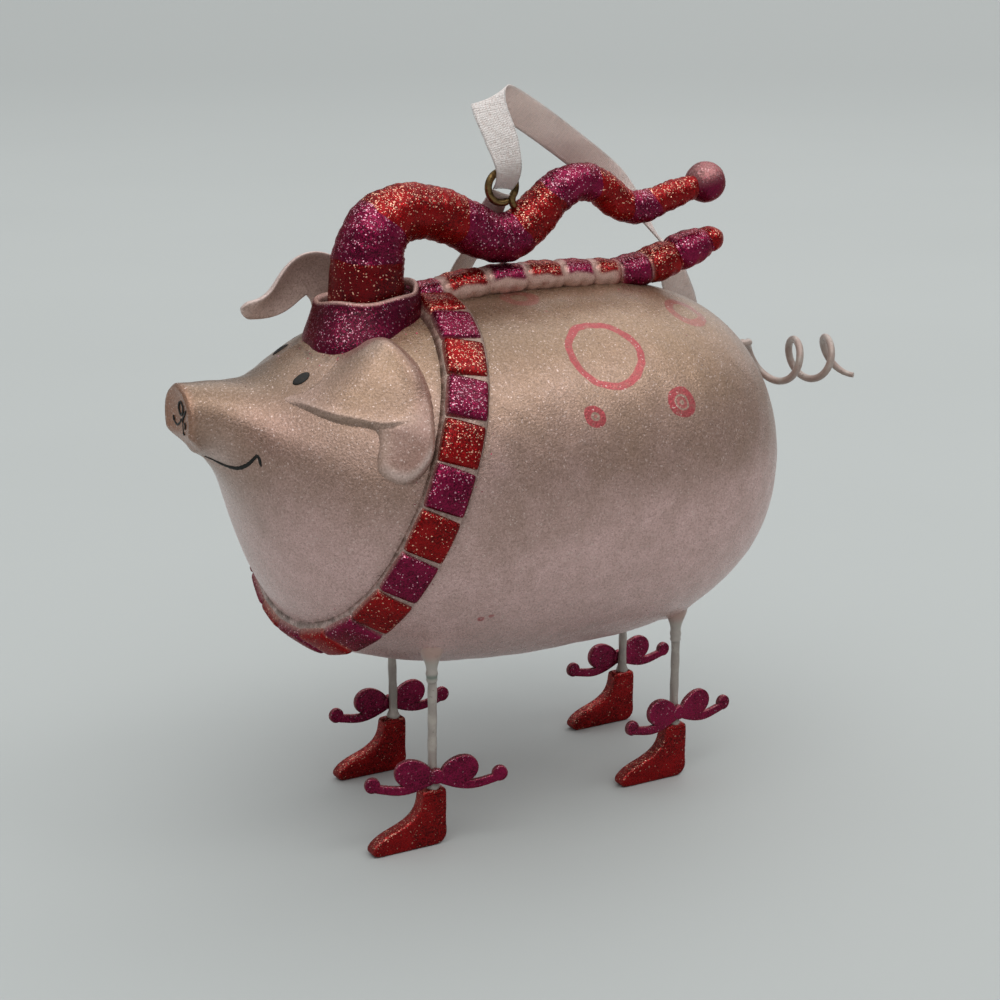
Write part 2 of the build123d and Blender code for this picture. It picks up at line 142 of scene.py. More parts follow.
# Painted rings on the skin: centre, radius, half width and strength
PAINTED_RINGS = (
    ((-2.3, -23.4, 89.5), 7.05, 0.85, 0.92), ((-9.2, -30.8, 79.9), 1.6, 0.75, 0.95),
    ((-9.2, -30.8, 79.9), 0.0, 0.5, 0.5), ((9.8, -30.3, 80.4), 2.3, 0.8, 0.95),
    ((9.8, -30.3, 80.4), 0.9, 0.4, 0.7), ((-10.3, -6.6, 97.8), 2.6, 1.3, 0.45),
    ((21.6, -14.6, 94.0), 3.5, 1.1, 0.55), ((-2.0, 24.5, 88.5), 6.4, 1.1, 0.9),
    ((-12.5, 30.5, 80.0), 1.8, 0.95, 0.9), ((11.5, 31.5, 78.0), 2.3, 1.0, 0.9),
    ((27.0, 24.0, 83.0), 3.4, 1.05, 0.85), ((-30.8, -28.4, 44.6), 0.0, 1.1, 0.8),
    ((-29.0, -28.9, 45.2), 0.0, 0.7, 0.7),
)

# Room: half the floor, grey of the walls by height, and lamps as name, place, spread in degrees, strength and tint
FLOOR_HALF = 12000.0
WALL_GREYS = ((0.0, 0.475), (0.045, 0.465), (0.14, 0.165), (0.75, 0.76))
LAMP_TARGET = (-10, 0, 60)
LAMPS = (
    ("window_light", (-380, -720, 1300), 60, 0.92, (1.0, 0.99, 0.97)),
    ("glint_light", (720, -620, 1250), 20, 0.24, (1.0, 0.99, 0.97)),
    ("ceiling_light", (100, 100, 1900), 80, 0.80, (1.0, 1.0, 1.0)),
    ("back_light", (1000, 700, 900), 60, 0.52, (1.0, 0.99, 0.98)),
)


def distance(name, description, value):
    return FloatProperty(name=name, description=description, default=value, unit="LENGTH")


class PigSizes(bpy.types.PropertyGroup):
    """Sizes of the soft and fine parts of the ornament."""

    ribbon_width: distance("Ribbon width", "Width of the satin ribbon", 0.00635)
    ribbon_thickness: distance("Ribbon thickness", "Thickness of the satin ribbon", 0.00026)
    wire_radius: distance("Leg wire radius", "Half the thickness of a leg wire", 0.00085)
    tail_radius: distance("Tail wire radius", "Half the thickness of the tail wire", 0.00075)
    flake_size: distance("Glitter flake", "Width of one coarse glitter flake", 0.00026)
    flake_density: FloatProperty(
        name="Glitter density", description="Coarse flakes on a square metre", default=1.1e6
    )
    dust_size: distance("Body glitter flake", "Width of one fine flake on the body", 0.00011)
    dust_density: FloatProperty(
        name="Body glitter density", description="Fine flakes on a square metre", default=1.5e5
    )
    glitter_seed: IntProperty(name="Glitter seed", description="Seed of the scattered flakes", default=7)
    collar_blocks: IntProperty(name="Scarf blocks", description="Raised blocks round the neck", default=24)


def colour(name, description, value):
    return FloatVectorProperty(name=name, description=description, subtype="COLOR", default=value, min=0.0, max=1.0)


class PigColours(bpy.types.PropertyGroup):
    """Paint, glitter, metal and cloth colours of the ornament."""

    pearl_pink: colour("Pearl pink", "Pearl paint on the sides", (0.42, 0.268, 0.225))
    pearl_beige: colour("Pearl beige", "Pearl paint on the back and brow", (0.36, 0.228, 0.142))
    # Paler pearl towards the belly: a painted reflection of the lit floor below
    pearl_floor_reflection: colour("Pearl underside", "Pinker pearl paint towards the belly", (0.74, 0.495, 0.47))
    pearl_pale: colour("Pale paint", "Pale pink of the lip, the seams and the edges", (0.70, 0.54, 0.49))
    blush: colour("Blush", "Pink inside the ears", (0.34, 0.175, 0.140))
    snout: colour("Snout", "Salmon paint on the face of the snout", (0.37, 0.160, 0.088))
    coral: colour("Coral", "Painted rings on the back", (0.42, 0.050, 0.065))
    red: colour("Red glitter", "Body colour of the red glitter", (0.24, 0.005, 0.006))
    gold: colour("Red sparkle", "Brightest flakes of the red glitter", (0.96, 0.58, 0.40))
    magenta: colour("Magenta glitter", "Body colour of the magenta glitter", (0.19, 0.006, 0.040))
    pink: colour("Magenta sparkle", "Brightest flakes of the magenta glitter", (0.80, 0.44, 0.53))
    satin: colour("Satin", "Pale pink ribbon", (0.97, 0.90, 0.865))
    brass: colour("Brass", "Worn brass of the screw eye", (0.20, 0.125, 0.050))
    wire: colour("Wire paint", "Pale paint on the wires", (0.31, 0.275, 0.245))
    ink: colour("Ink", "Black paint of the eyes and the mouth", (0.006, 0.006, 0.005))
    floor: colour("Floor", "Plain pale floor", (0.415, 0.435, 0.427))


# Lines, rings and meshes

def cubic(knots, values, at):
    """Natural cubic spline through rows of values."""
    knots, values, at = np.asarray(knots, float), np.asarray(values, float), np.asarray(at, float)
    gaps = np.diff(knots)
    count = len(knots)
    system, right = np.eye(count), np.zeros_like(values)
    for i in range(1, count - 1):
        system[i, i - 1:i + 2] = gaps[i - 1], 2 * (gaps[i - 1] + gaps[i]), gaps[i]
        right[i] = 6 * ((values[i + 1] - values[i]) / gaps[i] - (values[i] - values[i - 1]) / gaps[i - 1])
    bend = np.linalg.solve(system, right)
    j = np.clip(np.searchsorted(knots, at) - 1, 0, count - 2)
    gap = gaps[j][:, None]
    low = (knots[j + 1] - at)[:, None] / gap
    high = 1 - low
    straight = low * values[j] + high * values[j + 1]
    return straight + ((low**3 - low) * bend[j] + (high**3 - high) * bend[j + 1]) * gap**2 / 6


def lengths(points):
    return np.r_[0, np.cumsum(np.linalg.norm(np.diff(points[:, :3], axis=0), axis=1))]


def through(points, count):
    """Even points on a smooth line through the given ones. Extra columns ride along."""
    points = np.asarray(points, float)
    knots = lengths(points)
    fine = cubic(knots, points, np.linspace(0, knots[-1], 10 * count))
    run = lengths(fine)
    even = np.linspace(0, run[-1], count)
    return np.stack([np.interp(even, run, column) for column in fine.T], 1)


def unit(vectors):
    vectors = np.asarray(vectors, float)
    return vectors / np.linalg.norm(vectors, axis=-1, keepdims=True)


def smooth(value, low, high):
    share = np.clip((np.asarray(value, float) - low) / (high - low), 0, 1)
    return share * share * (3 - 2 * share)


def frames(path, across):
    """Heading, across and up at each point of a path, turned as little as possible."""
    heading = unit(np.gradient(path, axis=0))
    side, sides = np.asarray(across, float), []
    for step in heading:
        side = unit(side - step * (side @ step))
        sides.append(side)
    sides = np.array(sides)
    return heading, sides, np.cross(heading, sides)


def sweep(path, across, section):
    """Rings round a path. section is one (points, 2) outline, or one for each point of the path."""
    heading, side, up = frames(path, across)
    section = np.broadcast_to(section, (len(path),) + np.shape(section)[-2:])
    return path[:, None] + side[:, None] * section[..., :1] + up[:, None] * section[..., 1:]


def full_turn(count):
    return np.linspace(0, 2 * math.pi, count, endpoint=False)


def circle(count):
    angle = full_turn(count)
    return np.stack([np.cos(angle), np.sin(angle)], 1)


def turned(points, degrees):
    """Flat points turned about the origin."""
    c, s = math.cos(math.radians(degrees)), math.sin(math.radians(degrees))
    return np.stack([points[:, 0] * c - points[:, 1] * s, points[:, 0] * s + points[:, 1] * c], 1)


def ring_faces(rows, columns, closed=True, caps=True):
    row, column = np.meshgrid(np.arange(rows - 1), np.arange(columns if closed else columns - 1), indexing="ij")
    after = (column + 1) % columns
    faces = np.stack(
        [row * columns + column, row * columns + after, (row + 1) * columns + after, (row + 1) * columns + column],
        -1
    )
    faces = faces.reshape(-1, 4).tolist()
    if caps:
        faces.append(list(range(columns))[::-1])
        faces.append(list(range((rows - 1) * columns, rows * columns)))
    return faces


def around_each(values, count):
    """One value for each ring, repeated round it."""
    return np.repeat(np.asarray(values)[:, None], count, 1)


def join(*parts):
    """Several (points, faces) as one."""
    points, faces, start = [], [], 0
    for more_points, more_faces in parts:
        more_points = np.asarray(more_points, float).reshape(-1, 3)
        points.append(more_points)
        faces += [[start + i for i in face] for face in more_faces]
        start += len(more_points)
    return np.concatenate(points), faces


def set_mark(mesh, name, values):
    mesh.attributes.new(name, "FLOAT", "POINT").data.foreach_set("value", np.asarray(values, np.float32).ravel())


def settle(mesh, merge=True, outward=True):
    """Merges points that meet, turns the faces outwards and shades the mesh smooth."""
    shape = bmesh.new()
    shape.from_mesh(mesh)
    if merge:
        bmesh.ops.remove_doubles(shape, verts=shape.verts, dist=1e-6)
    if outward:
        bmesh.ops.recalc_face_normals(shape, faces=shape.faces)
    shape.to_mesh(mesh)
    shape.free()
    mesh.shade_smooth()
    return mesh


def make_mesh(name, points, faces, marks=None, outward=True):
    mesh = bpy.data.meshes.new(name)
    mesh.from_pydata((np.asarray(points, float).reshape(-1, 3) * MM).tolist(), [], faces)
    for mark, values in (marks or {}).items():
        set_mark(mesh, mark, values)
    return settle(mesh, outward=outward)


def link_new(name, data):
    """A new object in the scene."""
    piece = bpy.data.objects.new(name, data)
    bpy.context.scene.collection.objects.link(piece)
    return piece


def aim(name, data, place, target):
    """A lamp or a camera at a place, turned towards a target."""
    thing = link_new(name, data)
    thing.location = Vector(place) * MM
    thing.rotation_euler = Vector(np.subtract(target, place)).to_track_quat("-Z", "Y").to_euler()
    return thing


def show(name, mesh, nodes=(), body="figure"):
    """A mesh as a piece of the ornament that rides on a body and stands for its solids."""
    piece = link_new(name, mesh)
    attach(piece, body)
    if nodes:
        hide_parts(*nodes)
    return piece


def build(name, points, faces, finish, slot, nodes=(), marks=None, body="figure"):
    """A mesh in one finish, shown as a piece of the ornament."""
    mesh = make_mesh(name, points, faces, marks)
    mesh.materials.append(finish_of(finish))
    return show(name, mesh, nodes, body)


# Materials

def put(tree, socket, value):
    """Links a socket to another one, or gives it a plain value."""
    if isinstance(value, bpy.types.NodeSocket):
        tree.links.new(value, socket)
    elif socket.type == "RGBA" and len(value) == 3:
        socket.default_value = (*value, 1.0)
    else:
        socket.default_value = value


def add_node(tree, kind, settings=None, values=(), **inputs):
    """A new node. values fill its first sockets in turn, and inputs fill sockets by name."""
    node = tree.nodes.new(kind)
    for key, value in (settings or {}).items():
        setattr(node, key, value)
    for socket, value in zip(node.inputs, values):
        put(tree, socket, value)
    for key, value in inputs.items():
        put(tree, node.inputs[key.replace("_", " ")], value)
    return node


class Finish:
    """A node material put together socket by socket."""

    def __init__(self, name, **shader):
        self.material = bpy.data.materials.new(name)
        self.material.use_nodes = True
        self.tree = self.material.node_tree
        self.tree.nodes.clear()
        self.shader = self.add("ShaderNodeBsdfPrincipled", **shader)
        self.add("ShaderNodeOutputMaterial", Surface=self.shader.outputs[0])
        coordinates = self.add("ShaderNodeTexCoord")
        self.place = coordinates.outputs["Object"]
        self.unwrapped = coordinates.outputs["UV"]

    def add(self, kind, settings=None, values=(), **inputs):
        return add_node(self.tree, kind, settings, values, **inputs)

    def set(self, **inputs):
        for key, value in inputs.items():
            put(self.tree, self.shader.inputs[key.replace("_", " ")], value)

    def math(self, operation, *values):
        return self.add("ShaderNodeMath", {"operation": operation}, values).outputs[0]

    def times(self, first, second):
        return self.math("MULTIPLY", first, second)

    def plus(self, first, second):
        return self.math("ADD", first, second)

    def minus(self, first, second):
        return self.math("SUBTRACT", first, second)

    def vector(self, operation, *values):
        node = self.add("ShaderNodeVectorMath", {"operation": operation}, values)
        return node.outputs["Value" if operation in ("LENGTH", "DISTANCE", "DOT_PRODUCT") else "Vector"]

    def scatter(self, random_colour, amount):
        """A random step, from a random colour."""
        middle = self.vector("SUBTRACT", random_colour, (0.5, 0.5, 0.5))
        return self.add("ShaderNodeVectorMath", {"operation": "SCALE"}, (middle,), Scale=amount).outputs[0]

    def blend(self, share, first, second, mode="MIX"):
        node = self.add("ShaderNodeMix", {"data_type": "RGBA", "blend_type": mode})
        for index, value in ((0, share), (6, first), (7, second)):
            put(self.tree, node.inputs[index], value)
        return node.outputs[2]

    def band(self, value, low, high, first=0.0, last=1.0):
        ends = (value, low, high, first, last)
        return self.add("ShaderNodeMapRange", {"interpolation_type": "SMOOTHSTEP"}, ends).outputs[0]

    def noise(self, scale, detail=2.0, where=None):
        return self.add("ShaderNodeTexNoise", Vector=where or self.place, Scale=scale, Detail=detail).outputs[0]

    def cells(self, scale):
        """Random colour of each small cell, and its three channels."""
        node = self.add("ShaderNodeTexVoronoi", Vector=self.place, Scale=scale)
        split = self.add("ShaderNodeSeparateColor", Color=node.outputs["Color"])
        return node.outputs["Color"], split.outputs[0], split.outputs[1], split.outputs[2]

    def mark(self, name):
        return self.add("ShaderNodeAttribute", {"attribute_name": name}).outputs["Fac"]

    def bump(self, height, strength, distance, normal=None):
        node = self.add("ShaderNodeBump", Strength=strength, Distance=distance, Height=height)
        if normal is not None:
            put(self.tree, node.inputs["Normal"], normal)
        return node.outputs[0]

    def normal(self):
        return self.add("ShaderNodeNewGeometry").outputs["Normal"]

    def tilted(self, random_colour, amount):
        """Surface normal turned another way in each cell, as loose flakes lie."""
        return self.vector("NORMALIZE", self.vector("ADD", self.normal(), self.scatter(random_colour, amount)))


def shade(rgb, amount):
    return tuple(min(1.0, channel * amount) for channel in rgb)


def pearl_paint(colours):
    """Champagne pink pearl with fine glitter, dust on the back, painted rings, a paler underside painted as a
    reflection of the floor, and soft grime with painted shade in the seams.
    """
    f = Finish("pearl_paint", Specular_IOR_Level=0.4, Coat_Weight=0.3, Coat_Roughness=0.26)
    drift = f.times(f.minus(f.noise(60, 3), 0.5), 0.03)
    height = f.plus(f.add("ShaderNodeSeparateXYZ", Vector=f.place).outputs[2], drift)
    base = f.blend(f.band(height, 0.066, 0.098), colours.pearl_pink, colours.pearl_beige)
    # Paler, pinker paint towards the belly: a painted reflection of the lit floor
    base = f.blend(f.band(height, 0.076, 0.052), base, colours.pearl_floor_reflection)
    base = f.blend(f.mark("tan"), base, shade(colours.pearl_beige, 0.66))
    base = f.blend(f.mark("blush"), base, colours.blush)
    base = f.blend(f.mark("pale"), base, colours.pearl_pale)
    base = f.blend(f.mark("snout"), base, colours.snout)
    grit = f.noise(2500, 2)
    base = f.blend(f.band(grit, 0.36, 0.50, 0.24, 0.0), base, shade(colours.pearl_beige, 0.3))
    base = f.blend(f.band(grit, 0.53, 0.66, 0.0, 0.20), base, colours.pearl_pale)
    sway = f.add("ShaderNodeTexNoise", Vector=f.place, Scale=240.0).outputs["Color"]
    near = f.vector("ADD", f.place, f.scatter(sway, 0.0011))
    brush = f.noise(900, 3)
    for centre, radius, half, strength in PAINTED_RINGS:
        away = f.vector("DISTANCE", near, tuple(v * MM for v in centre))
        off = f.math("ABSOLUTE", f.minus(away, radius * MM))
        mask = f.band(off, half * 0.95 * MM, half * 0.72 * MM, 0.0, strength)
        mask = f.times(mask, f.band(brush, 0.25, 0.5, 0.62, 1.0))
        base = f.blend(mask, base, colours.coral)
    # Grime and painted shade in the seams: darker brown where the mark says so
    seam_grime_and_shade = f.times(f.mark("grime_and_shade"), f.band(f.noise(700, 4), 0.3, 0.65))
    base = f.blend(seam_grime_and_shade, base, (0.09, 0.055, 0.035))
    specks = f.band(f.noise(1150, 2), f.band(height, 0.06, 0.1, 0.775, 0.70), 0.80)
    base = f.blend(f.times(specks, 0.75), base, (0.07, 0.04, 0.025))
    r, g, b = f.cells(4600)[1:]
    base = f.blend(0.5, base, f.blend(r, (0.56, 0.54, 0.52), (1.0, 1.0, 1.0)), "MULTIPLY")
    spark = f.band(b, 0.975, 0.99)
    base = f.blend(f.times(spark, 0.8), base, colours.pearl_pale)
    base = f.blend(f.band(f.noise(330, 4), 0.32, 0.68, 0.0, 0.16), base, shade(colours.pearl_beige, 0.55))
    plain = f.minus(1.0, f.mark("bare"))
    f.set(Base_Color=base, Metallic=f.times(plain, 0.66), Roughness=f.band(g, 0.0, 1.0, 0.27, 0.42))
    grain = f.bump(grit, 0.36, 0.00022)
    f.set(Normal=f.bump(r, f.times(plain, 0.40), 0.00015, grain))
    return f.material


def glitter(name, colours, striped=None):
    """Coarse glitter in clear paint. striped is None for stripes read from the piece, 0 for red, 1 for magenta."""
    f = Finish(
        name, Specular_IOR_Level=0.4, Specular_Tint=(0.62, 0.16, 0.18, 1.0), Coat_Weight=0.16, Coat_Roughness=0.2
    )
    if striped is None:
        ragged = f.times(f.minus(f.noise(420, 3), 0.5), 0.7)
        stripe = f.band(f.plus(f.mark("stripe"), ragged), -0.08, 0.08)
    else:
        stripe = float(striped)
    whole, r, g = f.cells(4300)[:3]
    fine = f.cells(6800)[2]
    facing_up = f.band(f.vector("DOT_PRODUCT", f.normal(), (0.0, 0.0, 1.0)), -0.15, 0.85)
    dim, rare = (1.0, 0.0) if striped is None else (0.55, 0.03)

    def tone(red, magenta, amount, more=None):
        return f.blend(stripe, shade(red, amount), shade(magenta, more or amount))

    colour = f.blend(
        f.band(r, 0.05, 0.75), tone(colours.red, colours.magenta, 0.3), tone(colours.red, colours.magenta, 1.0))
    patch = f.band(f.noise(170, 3), 0.38, 0.66)
    colour = f.blend(f.times(patch, 0.5), colour, tone(colours.red, colours.magenta, 1.5))
    # The mark deep darkens the glitter towards dark magenta: painted shade
    colour = f.blend(f.times(f.mark("deep"), 0.62), colour, shade(colours.magenta, 0.12))
    # Bright flakes come more often on faces turned upwards: painted glints where the light from above falls
    often = f.band(facing_up, 0.0, 1.0, 0.983 + rare / 3, 0.92 + rare)
    bright = f.times(f.math("GREATER_THAN", r, often), 0.75)
    colour = f.blend(bright, colour, tone(colours.gold, colours.pink, dim))
    fleck = f.times(f.math("GREATER_THAN", fine, f.band(facing_up, 0.0, 1.0, 0.995, 0.955)), 0.9)
    colour = f.blend(fleck, colour, tone(colours.gold, colours.pink, 1.1 * dim, 1.2 * dim))
    pale = f.times(f.mark("pale"), f.band(f.noise(900, 2), 0.25, 0.45, 0.7, 1.0))
    colour = f.blend(
        pale, colour, f.blend(f.band(r, 0.0, 1.0), shade(colours.pearl_pink, 1.1), shade(colours.pearl_pink, 1.3))
    )
    bare = f.minus(1.0, pale)
    f.set(Base_Color=colour, Metallic=f.plus(0.3, f.times(bare, 0.5)), Roughness=f.band(g, 0.0, 1.0, 0.2, 0.46))
    f.set(Normal=f.tilted(whole, f.plus(0.03, f.times(bare, f.band(facing_up, 0.0, 1.0, 0.32, 0.62)))))
    return f.material


def flake(name, colours, striped=None):
    """Loose flakes, each with its own tint."""
    f = Finish(name, Metallic=1.0, Roughness=0.22)
    tint = f.mark("tint")
    if striped == 2:
        f.set(Base_Color=f.blend(tint, colours.pearl_beige, shade(colours.pearl_pale, 1.2)))
        return f.material
    stripe = f.band(f.mark("stripe"), -0.2, 0.2) if striped is None else float(striped)
    low = f.blend(stripe, shade(colours.red, 1.4), shade(colours.magenta, 1.4))
    dim, rare = (1.0, 0.72) if striped is None else (0.7, 0.88)
    high = f.blend(stripe, shade(colours.gold, dim), shade(colours.pink, dim))
    f.set(Base_Color=f.blend(f.band(tint, rare, 1.0), low, high))
    return f.material


def wire_paint(name, colours, warm):
    f = Finish(name, Coat_Weight=0.2, Coat_Roughness=0.3)
    base = f.blend(warm, colours.wire, colours.pearl_pink)
    streak = f.noise(420, 4)
    base = f.blend(f.band(streak, 0.42, 0.7, 0.0, 0.75), base, shade(colours.wire, 1.45))
    base = f.blend(f.band(f.noise(1500, 3), 0.62, 0.75, 0.0, 0.6), base, (0.12, 0.11, 0.095))
    f.set(
        Base_Color=base, Metallic=0.25, Roughness=f.band(streak, 0.3, 0.7, 0.5, 0.32),
        Normal=f.bump(f.noise(1400, 3), 0.3, 0.00012)
    )
    return f.material


def worn_brass(colours):
    f = Finish("worn_brass", Metallic=1.0)
    wear = f.noise(800, 5)
    f.set(
        Base_Color=f.blend(f.band(wear, 0.38, 0.62), shade(colours.brass, 0.28), colours.brass),
        Roughness=f.band(wear, 0.35, 0.65, 0.5, 0.26)
    )
    f.set(Normal=f.bump(f.noise(2200, 3), 0.3, 0.0001))
    return f.material


def satin_weave(colours):
    """Satin with fine lengthwise threads, a firmer edge and a duller back."""
    f = Finish("satin_weave", Anisotropic=0.4, Sheen_Weight=0.35, Sheen_Roughness=0.5, Specular_IOR_Level=0.8)
    split = f.add("ShaderNodeSeparateXYZ", Vector=f.unwrapped)
    across, along = split.outputs[0], split.outputs[1]

    def threads(wide, long, detail):
        where = f.add("ShaderNodeCombineXYZ", X=f.times(across, wide), Y=f.times(along, long))
        return f.noise(1.0, detail, where.outputs[0])

    thread = threads(26.0, 0.75, 3)
    crease = threads(5.0, 1.1, 2)
    rib = f.math("SINE", f.times(across, 150.0))
    weft = f.math("SINE", f.plus(f.times(along, 15.0), f.times(thread, 9.0)))
    dull = f.mark("underside")
    base = f.blend(dull, colours.satin, (0.88, 0.675, 0.60))
    base = f.blend(f.band(thread, 0.34, 0.56, 0.5, 0.0), base, (0.62, 0.46, 0.41))
    base = f.blend(f.band(f.plus(weft, rib), -1.6, -0.1, 0.4, 0.0), base, (0.60, 0.45, 0.40))
    edge = f.band(f.math("ABSOLUTE", f.minus(across, 0.5)), 0.43, 0.475, 0.0, 0.45)
    base = f.blend(edge, base, shade(colours.satin, 0.6))
    f.set(Base_Color=base, Roughness=f.band(thread, 0.35, 0.65, 0.42, 0.18))
    cloth = f.plus(f.times(weft, 0.16), f.plus(thread, f.times(crease, 2.2)))
    cloth = f.plus(f.times(rib, 0.22), cloth)
    f.set(Normal=f.bump(cloth, 0.8, 0.00024))
    return f.material


def ink_paint(colours):
    f = Finish("ink_paint", Specular_IOR_Level=0.25)
    worn = f.noise(2400, 4)
    f.set(
        Base_Color=f.blend(f.band(worn, 0.5, 0.72, 0.0, 0.5), colours.ink, (0.05, 0.038, 0.03)),
        Roughness=f.band(worn, 0.3, 0.7, 0.35, 0.6)
    )
    return f.material


def cast_cone(colours):
    """Thin clear-coated cast round the top of a leg, pale where it thins out."""
    f = Finish("cast_cone", Coat_Weight=0.35, Coat_Roughness=0.18)
    base = f.blend(f.mark("thin"), colours.pearl_pink, shade(colours.wire, 1.25))
    base = f.blend(f.band(f.noise(900, 3), 0.55, 0.75, 0.0, 0.5), base, shade(colours.pearl_pink, 0.55))
    base = f.blend(f.mark("copper"), base, (0.10, 0.14, 0.11))
    f.set(
        Base_Color=base, Roughness=f.band(f.noise(600), 0.3, 0.7, 0.28, 0.5),
        Normal=f.bump(f.noise(900, 3), 0.3, 0.0002)
    )
    return f.material


def floor_paper(colours):
    f = Finish("floor_paper", Roughness=0.75, Specular_IOR_Level=0.25)
    near = f.blend(f.band(f.noise(3.0, 4), 0.3, 0.7), colours.floor, shade(colours.floor, 0.975))
    # Darker away from the figure: painted fall-off of the lamplight on the floor
    f.set(Base_Color=f.blend(f.band(f.vector("LENGTH", f.place), 0.3, 2.5), near, shade(colours.floor, 0.82)))
    return f.material


# Geometry node trees

def node_tree(name, sockets):
    """A tree with named inputs, and functions that add nodes to it and close it with its finish."""
    tree = bpy.data.node_groups.new(name, "GeometryNodeTree")
    tree.interface.new_socket("Geometry", in_out="INPUT", socket_type="NodeSocketGeometry")
    for label, kind in sockets + [("Finish", "NodeSocketMaterial")]:
        tree.interface.new_socket(label, in_out="INPUT", socket_type=kind)
    tree.interface.new_socket("Geometry", in_out="OUTPUT", socket_type="NodeSocketGeometry")

    def add(kind, settings=None, values=(), **inputs):
        return add_node(tree, kind, settings, values, **inputs)

    def close(geometry):
        solid = add("GeometryNodeRealizeInstances", Geometry=geometry)
        painted = add("GeometryNodeSetMaterial", Geometry=solid.outputs[0], Material=given["Finish"])
        add("NodeGroupOutput", Geometry=painted.outputs[0])
        return tree

    given = add("NodeGroupInput").outputs
    return tree, add, given, close


def bake(piece, tree, **values):
    """Runs a tree on a piece and keeps the result as its plain mesh."""
    modifier = piece.modifiers.new(tree.name, "NODES")
    modifier.node_group = tree
    for item in tree.interface.items_tree:
        if item.item_type == "SOCKET" and item.in_out == "INPUT" and item.name in values:
            modifier[item.identifier] = values[item.name]
    depsgraph = bpy.context.evaluated_depsgraph_get()
    mesh = bpy.data.meshes.new_from_object(
        piece.evaluated_get(depsgraph), preserve_all_data_layers=True, depsgraph=depsgraph
    )
    piece.modifiers.clear()
    return mesh


def flake_tree():
    """Scatters small six-sided flakes over a surface, each a little tilted, where the mark named cover allows."""
    tree, add, given, close = node_tree("Glitter flakes", [
        ("Density", "NodeSocketFloat"), ("Flake size", "NodeSocketFloat"), ("Tilt", "NodeSocketFloat"),
        ("Seed", "NodeSocketInt"),
    ])
    times, number = {"operation": "MULTIPLY"}, {"data_type": "FLOAT"}
    cover = add("GeometryNodeInputNamedAttribute", number, Name="cover")
    amount = add("ShaderNodeMath", times, (given["Density"], cover.outputs[0]))
    points = add(
        "GeometryNodeDistributePointsOnFaces", Mesh=given["Geometry"], Density=amount.outputs[0], Seed=given["Seed"])
    tint = add("FunctionNodeRandomValue", number, Seed=3)
    marked = add(
        "GeometryNodeStoreNamedAttribute", {"data_type": "FLOAT", "domain": "POINT"},
        Geometry=points.outputs["Points"], Name="tint")
    tree.links.new(tint.outputs[1], [s for s in marked.inputs if s.name == "Value" and s.enabled][0])
    half = add("ShaderNodeMath", times, (given["Flake size"], 0.5))
    shape = add("GeometryNodeMeshCircle", {"fill_type": "NGON"}, Vertices=6, Radius=half.outputs[0])
    spread = add(
        "FunctionNodeRandomValue", {"data_type": "FLOAT_VECTOR"}, Seed=5, Min=(-1.0, -1.0, -3.1), Max=(1.0, 1.0, 3.1))
    lean = add("ShaderNodeCombineXYZ", X=given["Tilt"], Y=given["Tilt"], Z=1.0)
    turned = add("ShaderNodeVectorMath", times, (spread.outputs[0], lean.outputs[0]))
    turn = add("FunctionNodeEulerToRotation", Euler=turned.outputs[0])
    laid = add(
        "FunctionNodeRotateRotation", {"rotation_space": "LOCAL"},
        Rotation=points.outputs["Rotation"], Rotate_By=turn.outputs[0])
    grow = add("FunctionNodeRandomValue", number, Seed=9)
    grow.inputs[2].default_value = 0.55
    grow.inputs[3].default_value = 1.25
    flakes = add(
        "GeometryNodeInstanceOnPoints", Points=marked.outputs[0], Instance=shape.outputs[0],
        Rotation=laid.outputs[0], Scale=grow.outputs[1])
    return close(flakes.outputs[0])


def block_tree():
    """Sets one block on each point of a ring, turned by its marks lift and along and sized by its mark spread."""
    tree, add, given, close = node_tree("Scarf blocks", [("Block", "NodeSocketObject")])
    block = add("GeometryNodeObjectInfo", Object=given["Block"])
    lift, along, spread = (
        add("GeometryNodeInputNamedAttribute", {"data_type": "FLOAT_VECTOR"}, Name=name).outputs[0]
        for name in ("lift", "along", "spread"))
    stand = add("FunctionNodeAlignRotationToVector", {"axis": "Z"}, Vector=lift)
    turn = add(
        "FunctionNodeAlignRotationToVector", {"axis": "X", "pivot_axis": "Z"}, Rotation=stand.outputs[0], Vector=along)
    blocks = add(
        "GeometryNodeInstanceOnPoints", Points=given["Geometry"], Instance=block.outputs["Geometry"],
        Rotation=turn.outputs[0], Scale=spread)
    return close(blocks.outputs[0])


def wire_tree():
    """A round wire along a path, thinner at its tip."""
    tree, add, given, close = node_tree("Curled wire", [("Radius", "NodeSocketFloat"), ("Tip", "NodeSocketFloat")])
    line = add("GeometryNodeMeshToCurve", Mesh=given["Geometry"])
    where = add("GeometryNodeSplineParameter")
    ends = (where.outputs["Factor"], 0.93, 1.0, 1.0, given["Tip"])
    taper = add("ShaderNodeMapRange", {"interpolation_type": "SMOOTHSTEP"}, ends)
    sized = add("GeometryNodeSetCurveRadius", Curve=line.outputs[0], Radius=taper.outputs[0])
    profile = add("GeometryNodeCurvePrimitiveCircle", Resolution=20, Radius=given["Radius"])
    wire = add(
        "GeometryNodeCurveToMesh", Curve=sized.outputs[0], Profile_Curve=profile.outputs[0], Fill_Caps=True)
    if "Scale" in wire.inputs:
        tree.links.new(taper.outputs[0], wire.inputs["Scale"])
    return close(wire.outputs[0])


STORE = {}


